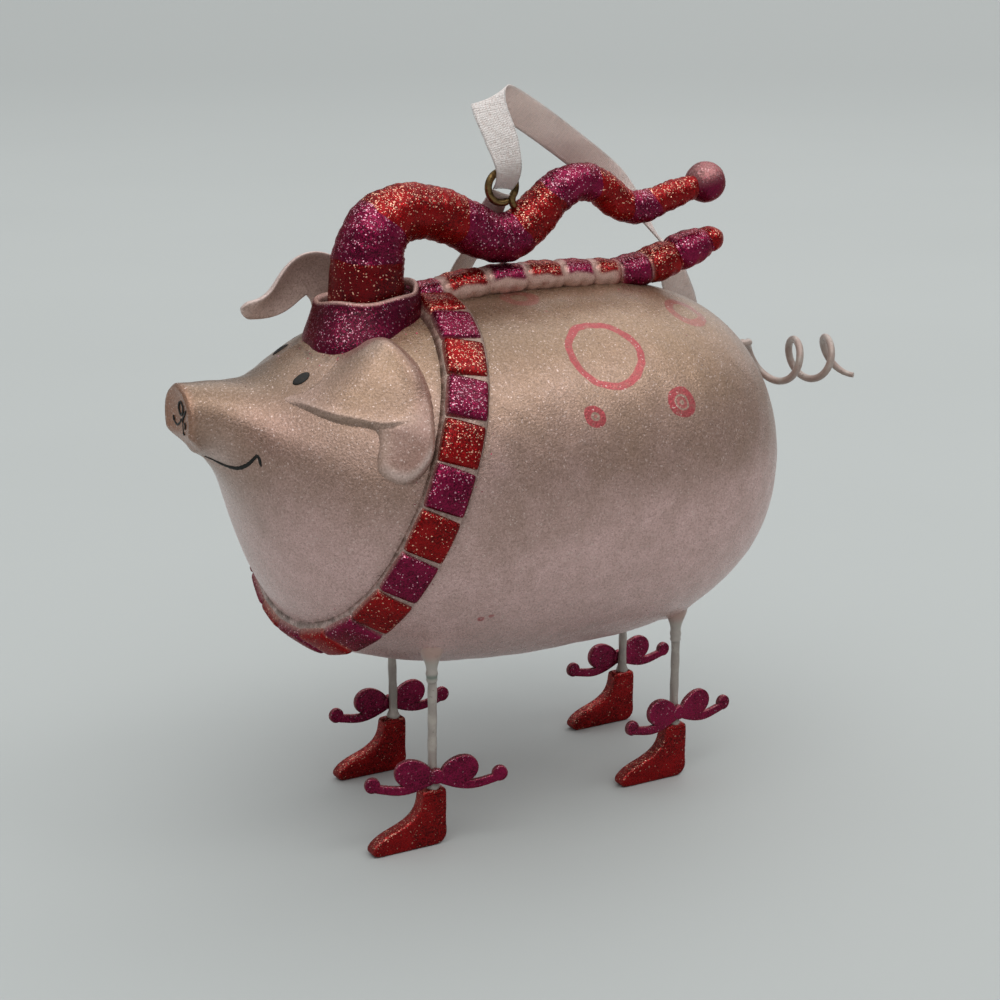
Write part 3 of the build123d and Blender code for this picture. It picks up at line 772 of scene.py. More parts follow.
def finish_of(name):
    """Materials and trees, each made once."""
    if name not in STORE:
        colours = bpy.context.scene.pig_colours
        makers = {
            "pearl": lambda: pearl_paint(colours),
            "striped glitter": lambda: glitter("striped_glitter", colours),
            "red glitter": lambda: glitter("red_glitter", colours, 0),
            "magenta glitter": lambda: glitter("magenta_glitter", colours, 1),
            "striped flakes": lambda: flake("striped_flakes", colours),
            "red flakes": lambda: flake("red_flakes", colours, 0),
            "magenta flakes": lambda: flake("magenta_flakes", colours, 1),
            "pearl flakes": lambda: flake("pearl_flakes", colours, 2),
            "leg wire": lambda: wire_paint("leg_wire_paint", colours, 0.05),
            "tail wire": lambda: wire_paint("tail_wire_paint", colours, 0.5),
            "brass": lambda: worn_brass(colours),
            "satin": lambda: satin_weave(colours),
            "ink": lambda: ink_paint(colours),
            "cone": lambda: cast_cone(colours),
            "floor": lambda: floor_paper(colours),
            "flake tree": flake_tree,
            "block tree": block_tree,
            "wire tree": wire_tree,
        }
        STORE[name] = makers[name]()
    return STORE[name]


def sprinkle(name, source, finish, slot, density=1.0, size=1.0, tilt=0.45, body_dust=False, where="cover"):
    """Glitter flakes scattered over a finished piece, as a piece of their own. where names the mark they lie on."""
    sizes = bpy.context.scene.pig_sizes
    helper = link_new(name + "_points", source.data.copy())
    if "cover" not in helper.data.attributes:
        cover = np.ones(len(helper.data.vertices), np.float32)
        if where in helper.data.attributes:
            helper.data.attributes[where].data.foreach_get("value", cover)
        set_mark(helper.data, "cover", cover)
    mesh = bake(
        helper, finish_of("flake tree"), **{
            "Density": density * (sizes.dust_density if body_dust else sizes.flake_density),
            "Flake size": size * (sizes.dust_size if body_dust else sizes.flake_size),
            "Tilt": tilt, "Seed": sizes.glitter_seed, "Finish": finish_of(finish),
        })
    bpy.data.objects.remove(helper)
    mesh.name = name
    return show(name, mesh)


# The skin of body and head

def form_rows(count):
    table = np.array(
        [(SNOUT_X + s * FIGURE_LENGTH, AXIS_HEIGHT + z * BARREL, r * BARREL) for s, z, r in FORM_SHARES]
    )
    knots = np.r_[0, np.cumsum(np.linalg.norm(np.diff(table, axis=0), axis=1))]
    return cubic(knots, table, np.linspace(0, knots[-1], count))


MOUTH = np.array([
    (-71.2, -1.2, 74.0), (-70.7, -2.4, 73.6), (-69.2, -5.2, 72.7), (-67.4, -7.8, 72.9), (-66.2, -9.8, 74.2),
    (-65.4, -11.1, 75.6),
])
MOUTH_CORNER = np.array([(-65.6, -10.9, 75.7), (-65.1, -11.4, 75.2), (-64.9, -11.6, 74.3), (-64.7, -11.7, 73.8)])
NEAR_EYE = np.array([-55.7, -8.6, 87.6])
FAR_EYE = np.array([-52.8, 6.6, 90.0])
MIRROR = np.array([1.0, -1.0, 1.0])


def cuff_foot(turn):
    """Radius at which the hat's cuff meets the skin, wider over the brow."""
    degrees = [-45, 0, 45, 90, 135, 165, 196, 215, 231, 251, 280, 315, 360]
    radii = [10.0, 10.2, 10.3, 10.6, 11.6, 12.8, 14.1, 14.7, 13.5, 11.4, 10.4, 10.0, 10.2]
    return np.interp(np.degrees(turn) % 360, degrees, radii)


def bump_at(points, centre, radius):
    return np.exp(-(np.linalg.norm(points - np.asarray(centre, float), axis=-1) / radius) ** 2)


def skin_points():
    """Points of the skin in rows from the snout's face to the rump, and the marks painted on them."""
    around = SKIN_COLUMNS
    rows = form_rows(SKIN_ROWS)
    turn = full_turn(around)
    out = np.stack([np.zeros(around), np.cos(turn), np.sin(turn)], 1)
    depth = np.clip(0.6 - (rows[:, 0] - SNOUT_X), 0, 0.6) / 0.6
    rows[:, 2] -= 0.55 * (1 - np.sqrt(1 - depth**2))
    first = rows[0]
    shares = (0.0, 0.08, 0.16, 0.25, 0.34, 0.43, 0.52, 0.61, 0.70, 0.78, 0.86, 0.93)
    face = [(first[0] + 0.55 * (1 - share**2), first[1], first[2] * share) for share in shares]
    last = rows[-1]
    rows = np.concatenate(
        [np.array(face), rows, [(last[0] + 0.25, last[1], last[2] * 0.5), (last[0] + 0.3, last[1], 0.0)]]
    )
    points = np.stack(
        [np.repeat(rows[:, :1], around, 1), np.zeros((len(rows), around)), np.repeat(rows[:, 1:2], around, 1)], -1
    )
    points = points + rows[:, None, 2:3] * out[None]
    snout_share = np.clip((points[..., 0] - SNOUT_X) / 7.0, 0, 1)
    low = smooth((first[1] - points[..., 2]) / first[2], 0.35, 1.05)
    points[..., 0] += 2.7 * low * (1 - snout_share) ** 2
    # cast unevenness, the smile's crease and lip, cheeks, the mounds round the legs and the root of the tail
    x, y, z = points[..., 0], points[..., 1], points[..., 2]
    lift = 0.10 * np.sin(0.31 * x + 1.7 * np.sin(0.11 * y) + 0.6) * np.sin(0.23 * z + 0.4 * np.cos(0.2 * x))
    lift += 0.05 * np.sin(0.9 * x + 0.7 * y) * np.cos(0.8 * z - 0.3 * y)
    for side in (1.0, -1.0):
        smile = through(MOUTH * (1, side, 1), 40)
        gap = np.min(np.linalg.norm(points[:HEAD_ROWS, :, None, :] - smile[None, None, ::2], axis=-1), axis=2)
        lift[:HEAD_ROWS] -= 0.42 * np.exp(-(gap / 0.75) ** 2)
        lift[:HEAD_ROWS] += 0.35 * bump_at(points[:HEAD_ROWS], (-68.2, -6.2 * side, 76.3), 3.4)
        lift[:HEAD_ROWS] += 0.55 * bump_at(points[:HEAD_ROWS], (-62.0, -15.5 * side, 76.0), 5.5)
        lift[:HEAD_ROWS] -= 0.25 * bump_at(points[:HEAD_ROWS], NEAR_EYE * (1, side, 1), 3.2)
    for leg_x, leg_y in LEGS.values():
        under = (z < AXIS_HEIGHT - 12)
        lift += under * 0.95 * np.exp(-((x - leg_x) ** 2 + (y - leg_y) ** 2) / 3.1**2)
    lift += 0.8 * bump_at(points, (42.0, 0.0, 82.6), 3.0)
    points = points + lift[..., None] * out[None]
    # paint
    x, y, z = points[..., 0], points[..., 1], points[..., 2]
    snout = np.zeros(points.shape[:2])
    snout[:11] = 1.0
    snout[11:15] = np.array([0.9, 0.6, 0.35, 0.15])[:, None]
    pale = np.zeros_like(snout)
    for side in (1.0, -1.0):
        pale = np.maximum(pale, 0.75 * bump_at(points, (-69.4, -4.2 * side, 75.2), 3.6))
    pale = np.maximum(pale, 0.45 * bump_at(points, (-66.0, 0.0, 66.0), 9.0))
    pale = pale * (1 - snout)
    blush = 0.35 * bump_at(points, (-64.0, -13.0, 79.5), 6.0) + 0.35 * bump_at(points, (-64.0, 13.0, 79.5), 6.0)
    band = (points - NECK_CENTRE) @ NECK_NORMAL
    # Grime with painted shade along the collar's edges, round the foot of the cuff and beside the ridge under the
    # scarf's tail
    grime_and_shade = 0.45 * np.exp(-((np.abs(band) - 4.1) / 0.45) ** 2)
    foot = np.hypot(x - CUFF_X, y) - cuff_foot(np.arctan2(y, x - CUFF_X))
    grime_and_shade = np.maximum(grime_and_shade, 0.6 * (z > 80) * np.exp(-((foot - 0.2) / 0.8) ** 2))
    ridge = (z > 85) & (x > -28) & (x < 24)
    grime_and_shade = np.maximum(grime_and_shade, 0.55 * ridge * np.exp(-((np.abs(y) - 4.4) / 0.7) ** 2))
    tan = smooth(z - 80.0, 0.0, 8.0) * smooth(-x, 50.0, 62.0) * (1 - snout)
    tan = np.maximum(tan, 0.7 * smooth(z, 83.0, 96.0) * smooth(band, -26.0, -6.0) * (band < 0))
    stray = 0.8 * (z > 78) * np.exp(-np.clip(foot, 0, 9) / 1.6) * (foot > -1.5)
    stray = stray + 0.10 * np.exp(-((np.abs(band) - 4.6) / 0.8) ** 2)
    stray = stray + 0.07 * ridge * np.exp(-((np.abs(y) - 5.5) / 2.0) ** 2)
    return points, {"snout": snout, "pale": pale, "blush": blush, "grime_and_shade": grime_and_shade, "stray": stray, "tan": tan}


def skin_tree():
    """Search tree of the skin, in millimetres."""
    if "skin tree" not in STORE:
        points = skin_points()[0]
        rows, around = points.shape[:2]
        flat = points.reshape(-1, 3)
        STORE["skin tree"] = BVHTree.FromPolygons([tuple(p) for p in flat], ring_faces(rows, around, caps=False))
    return STORE["skin tree"]


def on_skin(point):
    where, normal = (np.array(v) for v in skin_tree().find_nearest(Vector(point))[:2])
    middle = np.array([where[0], 0.0, AXIS_HEIGHT + (10.0 if where[0] < -60 else 0.0)])
    return where, normal if normal @ (where - middle) > 0 else -normal


def stroke(points, half_widths, height=0.10):
    """A raised brush stroke on the skin along a line of points."""
    line = through(np.c_[np.asarray(points, float), np.asarray(half_widths, float)], 56)
    spots = [on_skin(p) for p in line[:, :3]]
    where = np.array([s[0] for s in spots])
    normal = unit(np.array([s[1] for s in spots]))
    heading = unit(np.gradient(where, axis=0))
    across = unit(np.cross(normal, heading))
    rings = []
    for share in np.linspace(-1, 1, 9):
        rings.append(where + across * (line[:, 3:4] * share) + normal * (height * (1 - share**2) ** 0.5 + 0.03))
    for share in (0.8, -0.8):
        rings.append(where + across * (line[:, 3:4] * share) - normal * 0.2)
    rings = np.stack(rings, 1)
    return rings.reshape(-1, 3), ring_faces(len(line), rings.shape[1])


def dot(centre, long_axis, half_length, half_width, height):
    """A domed oval of paint on the skin."""
    where, normal = on_skin(centre)
    first = unit(long_axis - normal * (np.asarray(long_axis) @ normal))
    second = np.cross(normal, first)
    rings = [[where + normal * (height + 0.03)] * 36]
    for share in (0.2, 0.4, 0.6, 0.75, 0.87, 0.95, 1.0, 0.9):
        level = height * math.sqrt(max(0.0, 1 - share**2)) + 0.03 if share != 0.9 else -0.25
        ring = []
        for c, s in circle(36):
            spot, up = on_skin(where + first * c * half_length * share + second * s * half_width * share)
            ring.append(spot + up * level)
        rings.append(ring)
    rings.append([where - normal * 0.3] * 36)
    return np.array(rings).reshape(-1, 3), ring_faces(len(rings), 36, caps=False)


class PIG_OT_stage(bpy.types.Operator):
    """Makes the floor, the soft lights and the camera of the photograph"""

    bl_idname = "pig.stage"
    bl_label = "Stage"

    def execute(self, context):
        scene = context.scene
        scene.view_settings.view_transform = "Standard"
        corners = [(u * FLOOR_HALF, v * FLOOR_HALF, 0) for u, v in ((-1, -1), (1, -1), (1, 1), (-1, 1))]
        floor = link_new("floor", make_mesh("floor", corners, [[0, 1, 2, 3]], outward=False))
        floor.data.materials.append(finish_of("floor"))
        world = bpy.data.worlds.new("soft_room")
        world.use_nodes = True
        tree = world.node_tree
        way = add_node(tree, "ShaderNodeTexCoord").outputs["Generated"]
        split = add_node(tree, "ShaderNodeSeparateXYZ", Vector=way)
        level = add_node(tree, "ShaderNodeValToRGB", values=(split.outputs[2],))
        while len(level.color_ramp.elements) < len(WALL_GREYS):
            level.color_ramp.elements.new(0.5)
        for element, (height, grey) in zip(level.color_ramp.elements, WALL_GREYS):
            element.position = height
            element.color = (0.95 * grey, 0.98 * grey, grey, 1.0)
        put(tree, tree.nodes["Background"].inputs["Color"], level.outputs[0])
        scene.world = world
        for name, place, spread, strength, tint in LAMPS:
            lamp = bpy.data.lights.new(name, "SUN")
            lamp.angle = math.radians(spread)
            lamp.energy = strength
            lamp.color = tint
            aim(name, lamp, place, LAMP_TARGET)
        data = bpy.data.cameras.new("photo_camera")
        data.sensor_fit = "HORIZONTAL"
        data.angle = math.radians(CAMERA_ANGLE)
        data.clip_start = 0.01
        data.clip_end = 60
        scene.camera = aim("photo_camera", data, CAMERA_TARGET - unit(VIEW) * CAMERA_DISTANCE, CAMERA_TARGET)
        return {"FINISHED"}


class PIG_OT_ribbon(bpy.types.Operator):
    """Makes the satin ribbon loop through the eye, and its knot"""

    bl_idname = "pig.ribbon"
    bl_label = "Ribbon"

    def line_of(self, route):
        """Points of a smooth line with the route as its control points."""
        data = bpy.data.curves.new("ribbon_line", "CURVE")
        data.dimensions = "3D"
        data.resolution_u = 20
        spline = data.splines.new("NURBS")
        spline.points.add(len(route) - 1)
        for point, place in zip(spline.points, route):
            point.co = (*(v * MM for v in place), 1.0)
        spline.order_u = 3
        spline.use_endpoint_u = True
        helper = link_new("ribbon_line", data)
        mesh = bpy.data.meshes.new_from_object(helper.evaluated_get(bpy.context.evaluated_depsgraph_get()))
        line = np.array([v.co[:] for v in mesh.vertices]) / MM
        bpy.data.objects.remove(helper)
        bpy.data.curves.remove(data)
        bpy.data.meshes.remove(mesh)
        return line

    def turns(self, route):
        """Direction of the ribbon's width at each point of the route, its width, and how far it is kept square."""
        front = 0.985 * RIGHT + 0.17 * UP
        crease = 0.857 * RIGHT + 0.514 * UP
        back = 0.611 * RIGHT + 0.787 * UP
        keys = {
            0: (0.95 * RIGHT + 0.1 * UP, 3.7, 1.0), 1: (0.98 * RIGHT + 0.1 * UP, 4.4, 1.0), 2: (front, 6.0, 1.0),
            3: (front, 6.35, 0.6),
            4: (crease, 6.5, 0.0), 5: (back, 6.35, 0.6), 6: (back, 6.35, 1.0), 7: (back, 6.35, 1.0),
            8: (0.5 * back + 0.6 * VIEW, 6.35, 1.0),
            9: (VIEW, 6.35, 1.0), 10: (0.86 * RIGHT + 0.5 * UP + 0.35 * VIEW, 6.35, 1.0),
        }
        route = np.array(route)
        last = keys[10][0]
        for index in range(11, 23):
            outward = unit(route[index] * (0, 1, 1) - (0, 0, AXIS_HEIGHT))
            side = unit(np.cross(outward, route[index + 1] - route[index - 1]))
            side = side if side @ last > 0 else -side
            last = side
            towards = (1.8 if index > 19 else 0.0) * VIEW * math.copysign(1, side @ VIEW)
            keys[index] = (unit(side + towards), 6.35, 1.0)
        keys[23] = (unit(last + RIGHT * (1 if last @ RIGHT > 0 else -1)), 5.0, 1.0)
        keys[24] = (RIGHT * (1 if last @ RIGHT > 0 else -1), 3.6, 1.0)
        return np.array([np.r_[unit(keys[i][0]), keys[i][1], keys[i][2]] for i in range(len(route))])

    def execute(self, context):
        sizes = context.scene.pig_sizes
        line = self.line_of(RIBBON_ROUTE)
        count = len(RIBBON_ROUTE)
        at = np.r_[0, np.arange(1, count - 1) - 0.5, count - 2] / (count - 2)
        keys = self.turns(RIBBON_ROUTE)
        share = np.linspace(0, 1, len(line))
        keyed = np.stack([np.interp(share, at, column) for column in keys.T], 1)
        heading = unit(np.gradient(line, axis=0))
        side = unit(keyed[:, :3])
        side = unit(side - heading * (np.sum(side * heading, 1, keepdims=True) * keyed[:, 4:5]))
        normal = unit(np.cross(heading, side) + 1e-9)
        for i in range(1, len(normal)):
            if abs(normal[i] @ normal[i - 1]) < 0.05:
                normal[i] = unit(normal[i] + normal[i - 1])
        width = keyed[:, 3] * sizes.ribbon_width / KEYED_WIDTH
        cross = np.linspace(-1, 1, RIBBON_COLUMNS)
        thick = sizes.ribbon_thickness / MM / 2
        run = lengths(line)
        ripple = 0.10 * np.sin(run * 0.45)[:, None] * np.sin(cross * 3.0)[None]
        camber = 0.22 * (1 - cross**2)[None] + ripple
        reach = side[:, None] * (cross[None, :, None] * width[:, None, None] / 2)
        top = line[:, None] + reach + normal[:, None] * (camber[..., None] + thick)
        low = line[:, None] + reach[:, ::-1] + normal[:, None] * (camber[:, ::-1, None] - thick)
        rings = np.concatenate([top, low], 1)
        columns = rings.shape[1]
        faces = ring_faces(len(line), columns)
        under = np.tile(np.r_[np.ones(RIBBON_COLUMNS), np.zeros(RIBBON_COLUMNS)], (len(line), 1))
        mesh = bpy.data.meshes.new("ribbon")
        mesh.from_pydata((rings.reshape(-1, 3) * MM).tolist(), [], faces)
        set_mark(mesh, "underside", under)
        layer = mesh.uv_layers.new(name="weave")
        across = np.tile(np.r_[cross, cross[::-1]] / 2 + 0.5, (len(line), 1)).ravel()
        along = np.repeat(run, columns)
        corners = np.empty(len(mesh.loops), np.int32)
        mesh.loops.foreach_get("vertex_index", corners)
        layer.data.foreach_set("uv", np.stack([across[corners], along[corners]], 1).astype(np.float32).ravel())
        mesh.materials.append(finish_of("satin"))
        ribbon = show("satin_ribbon", settle(mesh, merge=False), ["ribbon_loop"], "ribbon")
        knot = self.knot()
        return {"FINISHED"}

    def knot(self):
        """An overhand knot drawn tight, with two cut ends that hang from it."""
        low, high = (np.array(v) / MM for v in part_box("ribbon_knot"))
        centre = np.array([(low[0] + high[0]) / 2, (low[1] + high[1]) / 2, high[2] - 2.6])
        t = np.linspace(0, 2 * math.pi, 140)
        loop = np.stack(
            [np.sin(t) + 2 * np.sin(2 * t), -0.75 * np.sin(3 * t), np.cos(t) - 2 * np.cos(2 * t)], 1
        ) * 0.62
        loop[-1] = loop[0]
        flat = circle(18) * (1.45, 0.42)
        band = sweep(centre + loop, (0.2, 1.0, 0.3), flat)
        parts = [(band, ring_faces(len(loop), 18))]
        ball = []
        for level in np.linspace(-1, 1, 13):
            radius = math.sqrt(1 - level * level)
            ball += [(1.7 * c * radius, 1.25 * level, 1.7 * s * radius) for c, s in circle(20)]
        parts.append((centre + np.array(ball), ring_faces(13, 20, caps=False)))
        for hand, length in ((-1, 11.2), (1, 10.4)):
            angle = math.radians(24) * hand
            down = np.array([-math.sin(angle), 0.0, -math.cos(angle)])
            aside = np.array([math.cos(angle), 0.0, -math.sin(angle)])
            steps = np.linspace(0, 1, 30)
            path = centre + down * (steps * length)[:, None]
            path = path + np.array([0, 1.0, 0]) * (0.8 * np.sin(steps * 3.4) * hand)[:, None]
            halves = 1.3 + 1.5 * smooth(steps, 0.0, 0.4)
            outline = [(u, 0.14) for u in np.linspace(-1, 1, 9)] + [(u, -0.14) for u in np.linspace(1, -1, 9)]
            sections = np.stack([np.array(outline) * (half, 1.0) for half in halves])
            sections[..., 1] += 0.35 * (1 - (sections[..., 0] / halves[:, None]) ** 2)
            strip = sweep(path, aside, sections)
            strip[-1] += ((strip[-1] - path[-1]) @ aside)[:, None] * down * 0.35
            parts.append((strip, ring_faces(len(path), 18)))
        points, faces = join(*parts)
        return build("ribbon_knot_ends", points, faces, "satin", "satin", ["ribbon_knot"], body="ribbon")


class PIG_OT_body(bpy.types.Operator):
    """Makes the pearl skin of body and head, the drawn face and the fine glitter on it"""

    bl_idname = "pig.body"
    bl_label = "Body and face"

    def execute(self, context):
        points, marks = skin_points()
        rows, around = points.shape[:2]
        faces = ring_faces(rows, around, caps=False)
        skin = build("pearl_skin", points, faces, "pearl", "pearl_paint", ["body_shell", "head_shell"], marks)
        sprinkle("pearl_skin_glitter", skin, "pearl flakes", "pearl_paint", tilt=0.35, body_dust=True)
        sprinkle("stray_glitter", skin, "magenta flakes", "cuff_glitter", 0.8, 1.15, where="stray")
        tilt = 0.62 * RIGHT + 0.78 * UP
        eyes = [dot(NEAR_EYE, tilt, 1.75, 1.15, 0.30), dot(FAR_EYE, tilt * MIRROR, 1.75, 1.15, 0.30)]
        build("drawn_eyes", *join(*eyes), "ink", "pearl_paint")
        strokes = []
        for side in (1.0, -1.0):
            flip = np.array([1.0, side, 1.0])
            strokes.append(stroke(MOUTH * flip, (0.10, 0.20, 0.34, 0.40, 0.34, 0.30)))
            strokes.append(stroke(MOUTH_CORNER * flip, (0.26, 0.30, 0.28, 0.14)))
        nose = [
            ([(-1.45, 84.4), (-2.45, 83.6), (-2.0, 82.4), (-0.9, 81.9), (-0.2, 82.75), (-0.6, 83.9), (-1.45, 84.4)], 0.20),
            ([(2.4, 81.2), (2.2, 80.4), (1.15, 79.8), (0.0, 80.3), (-1.1, 81.2)], 0.22),
            ([(-4.2, 83.2), (-3.0, 82.3), (-2.1, 81.5), (-1.6, 80.0), (-2.0, 79.0), (-2.3, 78.3)], 0.20),
            ([(-2.9, 80.9), (-3.1, 80.2), (-3.0, 79.7)], 0.16),
        ]
        for marks_on_face, half in nose:
            ends = [half * 0.6] + [half] * (len(marks_on_face) - 2) + [half * 0.5]
            strokes.append(stroke([(SNOUT_X, y, z) for y, z in marks_on_face], ends, 0.07))
        build("drawn_mouth_and_nose", *join(*strokes), "ink", "pearl_paint")
        return {"FINISHED"}


class PIG_OT_ears(bpy.types.Operator):
    """Makes the floppy ear on the near cheek and the curled ear on the far side"""

    bl_idname = "pig.ears"
    bl_label = "Ears"

    def near_ear(self):
        slant = math.radians(46)
        origin = np.array([-48.70, -19.985, 82.995])
        first = np.array([1.0, 0.0, 0.0])
        second = np.array([0.0, math.cos(slant), math.sin(slant)])
        away = np.array([0.0, -math.sin(slant), math.cos(slant)])
        outline = np.array([
            (-10.9, 8.6), (-8.9, 4.4), (-6.1, 0.5), (-2.2, -2.6), (-0.2, -4.1), (-0.2, -7.0), (-1.2, -10.5),
            (0.7, -13.2), (3.5, -14.3), (7.0, -12.6),
            (9.2, -7.0), (10.4, -0.6), (10.3, 6.0), (8.7, 11.2), (6.0, 14.2), (3.0, 14.6), (-0.5, 12.4),
            (-4.5, 9.4), (-8.2, 8.2),
        ])
        wrapped = np.c_[np.concatenate([outline[-3:], outline, outline[:3]]), np.zeros(len(outline) + 6)]
        edge = through(wrapped, 560)[:, :2]
        edge = edge[np.linalg.norm(edge - outline[0], axis=1).argmin():]
        edge = edge[:np.linalg.norm(edge[120:] - outline[0], axis=1).argmin() + 120]
        us, vs = np.arange(-13.5, 13.2, 0.34), np.arange(-17.2, 17.4, 0.34)
        u, v = np.meshgrid(us, vs, indexing="ij")
        grid = np.stack([u, v], -1)

        def away_from(line):
            return np.min(np.linalg.norm(grid[:, :, None] - line[None, None], axis=-1), axis=2)

        def rounded(share):
            return np.sqrt(np.clip(1 - (1 - np.clip(share, 0, 1)) ** 2, 0, 1))

        gap = away_from(edge)
        after = np.roll(edge, -1, axis=0)
        between = (edge[:, 1] > v[..., None]) != (after[:, 1] > v[..., None])
        step = after - edge
        meets = step[:, 0] * (v[..., None] - edge[:, 1]) / (step[:, 1] + 1e-9) + edge[:, 0]
        inside = np.sum(between & (u[..., None] < meets), axis=2) % 2 == 1
        d = np.where(inside, gap, -gap)

        def flat(points, count):
            return through([(a, b, 0) for a, b in points], count)[:, :2]

        lip = flat(
            [(-10.9, 8.6), (-8.9, 4.4), (-6.1, 0.5), (-2.2, -2.6), (0.4, -4.3), (3.6, -5.2), (6.4, -5.0)], 90
        )
        brow = flat([(-10.9, 8.6), (-8.2, 8.2), (-4.5, 9.4), (-0.5, 12.4), (2.0, 14.4)], 60)
        back = flat(
            [(3.0, 14.6), (6.0, 14.2), (8.7, 11.2), (10.3, 6.0), (10.4, -0.6), (9.2, -7.0), (7.0, -12.6)], 90
        )
        lip_gap, brow_gap, back_gap = away_from(lip), away_from(brow), away_from(back)
        fold = np.interp(u, [-2.0, 0.4, 3.6, 6.4, 10.0], [-3.0, -4.3, -5.2, -5.0, -4.2])
        fade = 3.5 * smooth(u, 2.5, 7.5)
        lobe = smooth((fold - v + 0.3 + fade) / (1.2 + 2 * fade), 0.0, 1.0) * smooth(u, -2.6, -1.4)
        crest = np.exp(-((u - 4.2) ** 2 + (v - 11.2) ** 2) / 4.4**2)
        ridge = np.exp(-((back_gap - 2.6) / 2.0) ** 2) * smooth(v, -9.0, 2.0)
        pad = (2.4 + 1.3 * crest + 0.9 * ridge) * smooth(brow_gap, 0.0, 7.0) ** 0.8
        pad *= 0.50 + 0.50 * smooth(lip_gap, 1.5, 10.0)
        pad += 0.12 * np.exp(-((lip_gap - 0.6) / 0.6) ** 2) * smooth(brow_gap, 0.0, 3.0)
        pad *= rounded(back_gap / 3.8)
        pad *= rounded(lip_gap / 0.7) * (1 - smooth(u, 2.0, 6.0)) + smooth(u, 2.0, 6.0)
        rim = np.exp(-((d - 0.95) / 0.62) ** 2)
        flap = (0.62 + 0.20 * rim * smooth(-v, 9.0, 12.0) + 2.2 * smooth(u, 0.5, 8.5)) * rounded(d / 1.9)
        height = pad * (1 - lobe) + flap * lobe
        height = np.where(d > 0, np.maximum(height, 0.02), np.maximum(-0.9, d * 1.4))
        # Pink on the lobe and the back edge, its dark tone there painted shade where they turn away from the light
        blush = 0.62 * lobe * smooth(d, 0.6, 2.4) + 0.75 * (1 - smooth(back_gap, 1.0, 4.8)) * (1 - 0.5 * lobe)
        # Pale paint along the lip; the paler lobe rim and the paler crest are painted highlights
        pale = 0.22 * np.exp(-((lip_gap - 0.5) / 0.6) ** 2) * (1 - lobe) + 0.6 * lobe * rim * smooth(-v, 9.0, 12.0)
        paint = {
            "blush": blush, "pale": pale + 0.04 * lobe + 0.3 * crest**2,
            # Darker just outside the ear's edge: grime with painted shade where ear and head meet
            "grime_and_shade": 0.25 * np.exp(-((d + 0.1) / 0.35) ** 2) * smooth(brow_gap, 1.0, 4.0),
            "bare": 0.75 * lobe + 0.5 * (1 - smooth(back_gap, 1.5, 4.0)) * (1 - lobe),
        }
        tree = skin_tree()
        index = -np.ones(u.shape, int)
        top, bottom, cells = [], [], []
        for i, j in zip(*np.nonzero(d > -1.0)):
            start = origin + first * u[i, j] + second * v[i, j] + away * 25
            spot, normal = tree.ray_cast(Vector(start), Vector(-away))[:2]
            if spot is None:
                continue
            normal = np.array(normal) if np.array(normal) @ away > 0 else -np.array(normal)
            index[i, j] = len(top)
            direction = unit(0.55 * normal + 0.45 * away)
            top.append(np.array(spot) + direction * height[i, j])
            bottom.append(np.array(spot) - direction * 1.6)
            cells.append((i, j))
        count = len(top)
        faces, sides = [], {}
        for i in range(u.shape[0] - 1):
            for j in range(u.shape[1] - 1):
                quad = [index[i, j], index[i + 1, j], index[i + 1, j + 1], index[i, j + 1]]
                if min(quad) < 0:
                    continue
                faces.append(quad)
                faces.append([q + count for q in quad[::-1]])
                for a, b in zip(quad, quad[1:] + quad[:1]):
                    sides[(a, b)] = True
        for a, b in sides:
            if (b, a) not in sides:
                faces.append([b, a, a + count, b + count])
        shown = tuple(np.array(cells).T)
        marks = {name: np.r_[values[shown], np.zeros(count)] for name, values in paint.items()}
        return build("near_ear", np.array(top + bottom), faces, "pearl", "pearl_paint", ["left_ear"], marks)

    def far_ear(self):
        table = [
            (-0.12, -0.20, 0.78, 1.25), (0.00, 0.00, 0.86, 1.30), (0.05, 0.48, 1.02, 1.25),
            (0.17, 0.80, 1.06, 1.20), (0.32, 0.86, 1.02, 1.20),
            (0.47, 0.70, 0.90, 1.20), (0.60, 0.48, 0.72, 1.20), (0.74, 0.36, 0.56, 1.20), (0.90, 0.32, 0.44, 1.15),
            (0.97, 0.32, 0.34, 0.95), (1.01, 0.32, 0.15, 0.4),
        ]
        rows = through([
            (-37.69 - reach * 19.0, 14.0, 92.9 + rise * 10.6, wide * 4.7, thick * 1.25)
            for reach, rise, wide, thick in table
        ], 90)
        path = rows[:, :3]
        turn = full_turn(40)
        sections, inner = [], []
        for k, (half, thick) in enumerate(rows[:, 3:5]):
            share = k / (len(rows) - 1)
            cup = 1.9 * smooth(share, 0.05, 0.25) * (1 - 0.7 * smooth(share, 0.72, 0.95))
            up = 0.75 * thick * np.sin(turn) - cup * np.sin(turn) ** 2
            across = 0.92 * half * np.cos(turn)
            sections.append(turned(np.stack([across, up], 1), 72))
            hollow = np.where(np.sin(turn) > 0, 0.95 * smooth(np.sin(turn), 0.25, 0.85), 0.0)
            inner.append(hollow * smooth(share, 0.02, 0.2) * (1 - 0.6 * smooth(share, 0.6, 1.0)))
        inner = np.array(inner)
        rings = sweep(path, (0, 1, 0), np.array(sections))
        rim = np.repeat((0.55 * smooth(np.abs(np.cos(turn)), 0.86, 0.99))[None], len(path), 0)
        # The far ear is painted paler all over as painted light on a part in shade, with a painted highlight on its
        # rim and painted shade in its hollow, where the pale gives way to blush
        marks = {
            "blush": inner * 0.30, "pale": 0.92 + rim * 0.2 - 0.25 * inner, "bare": np.full(rim.shape, 0.95),
        }
        return build("far_ear", rings, ring_faces(len(path), 40), "pearl", "pearl_paint", ["right_ear"], marks)

    def execute(self, context):
        near = self.near_ear()
        sprinkle("near_ear_glitter", near, "pearl flakes", "pearl_paint", tilt=0.35, body_dust=True)
        self.far_ear()
        return {"FINISHED"}


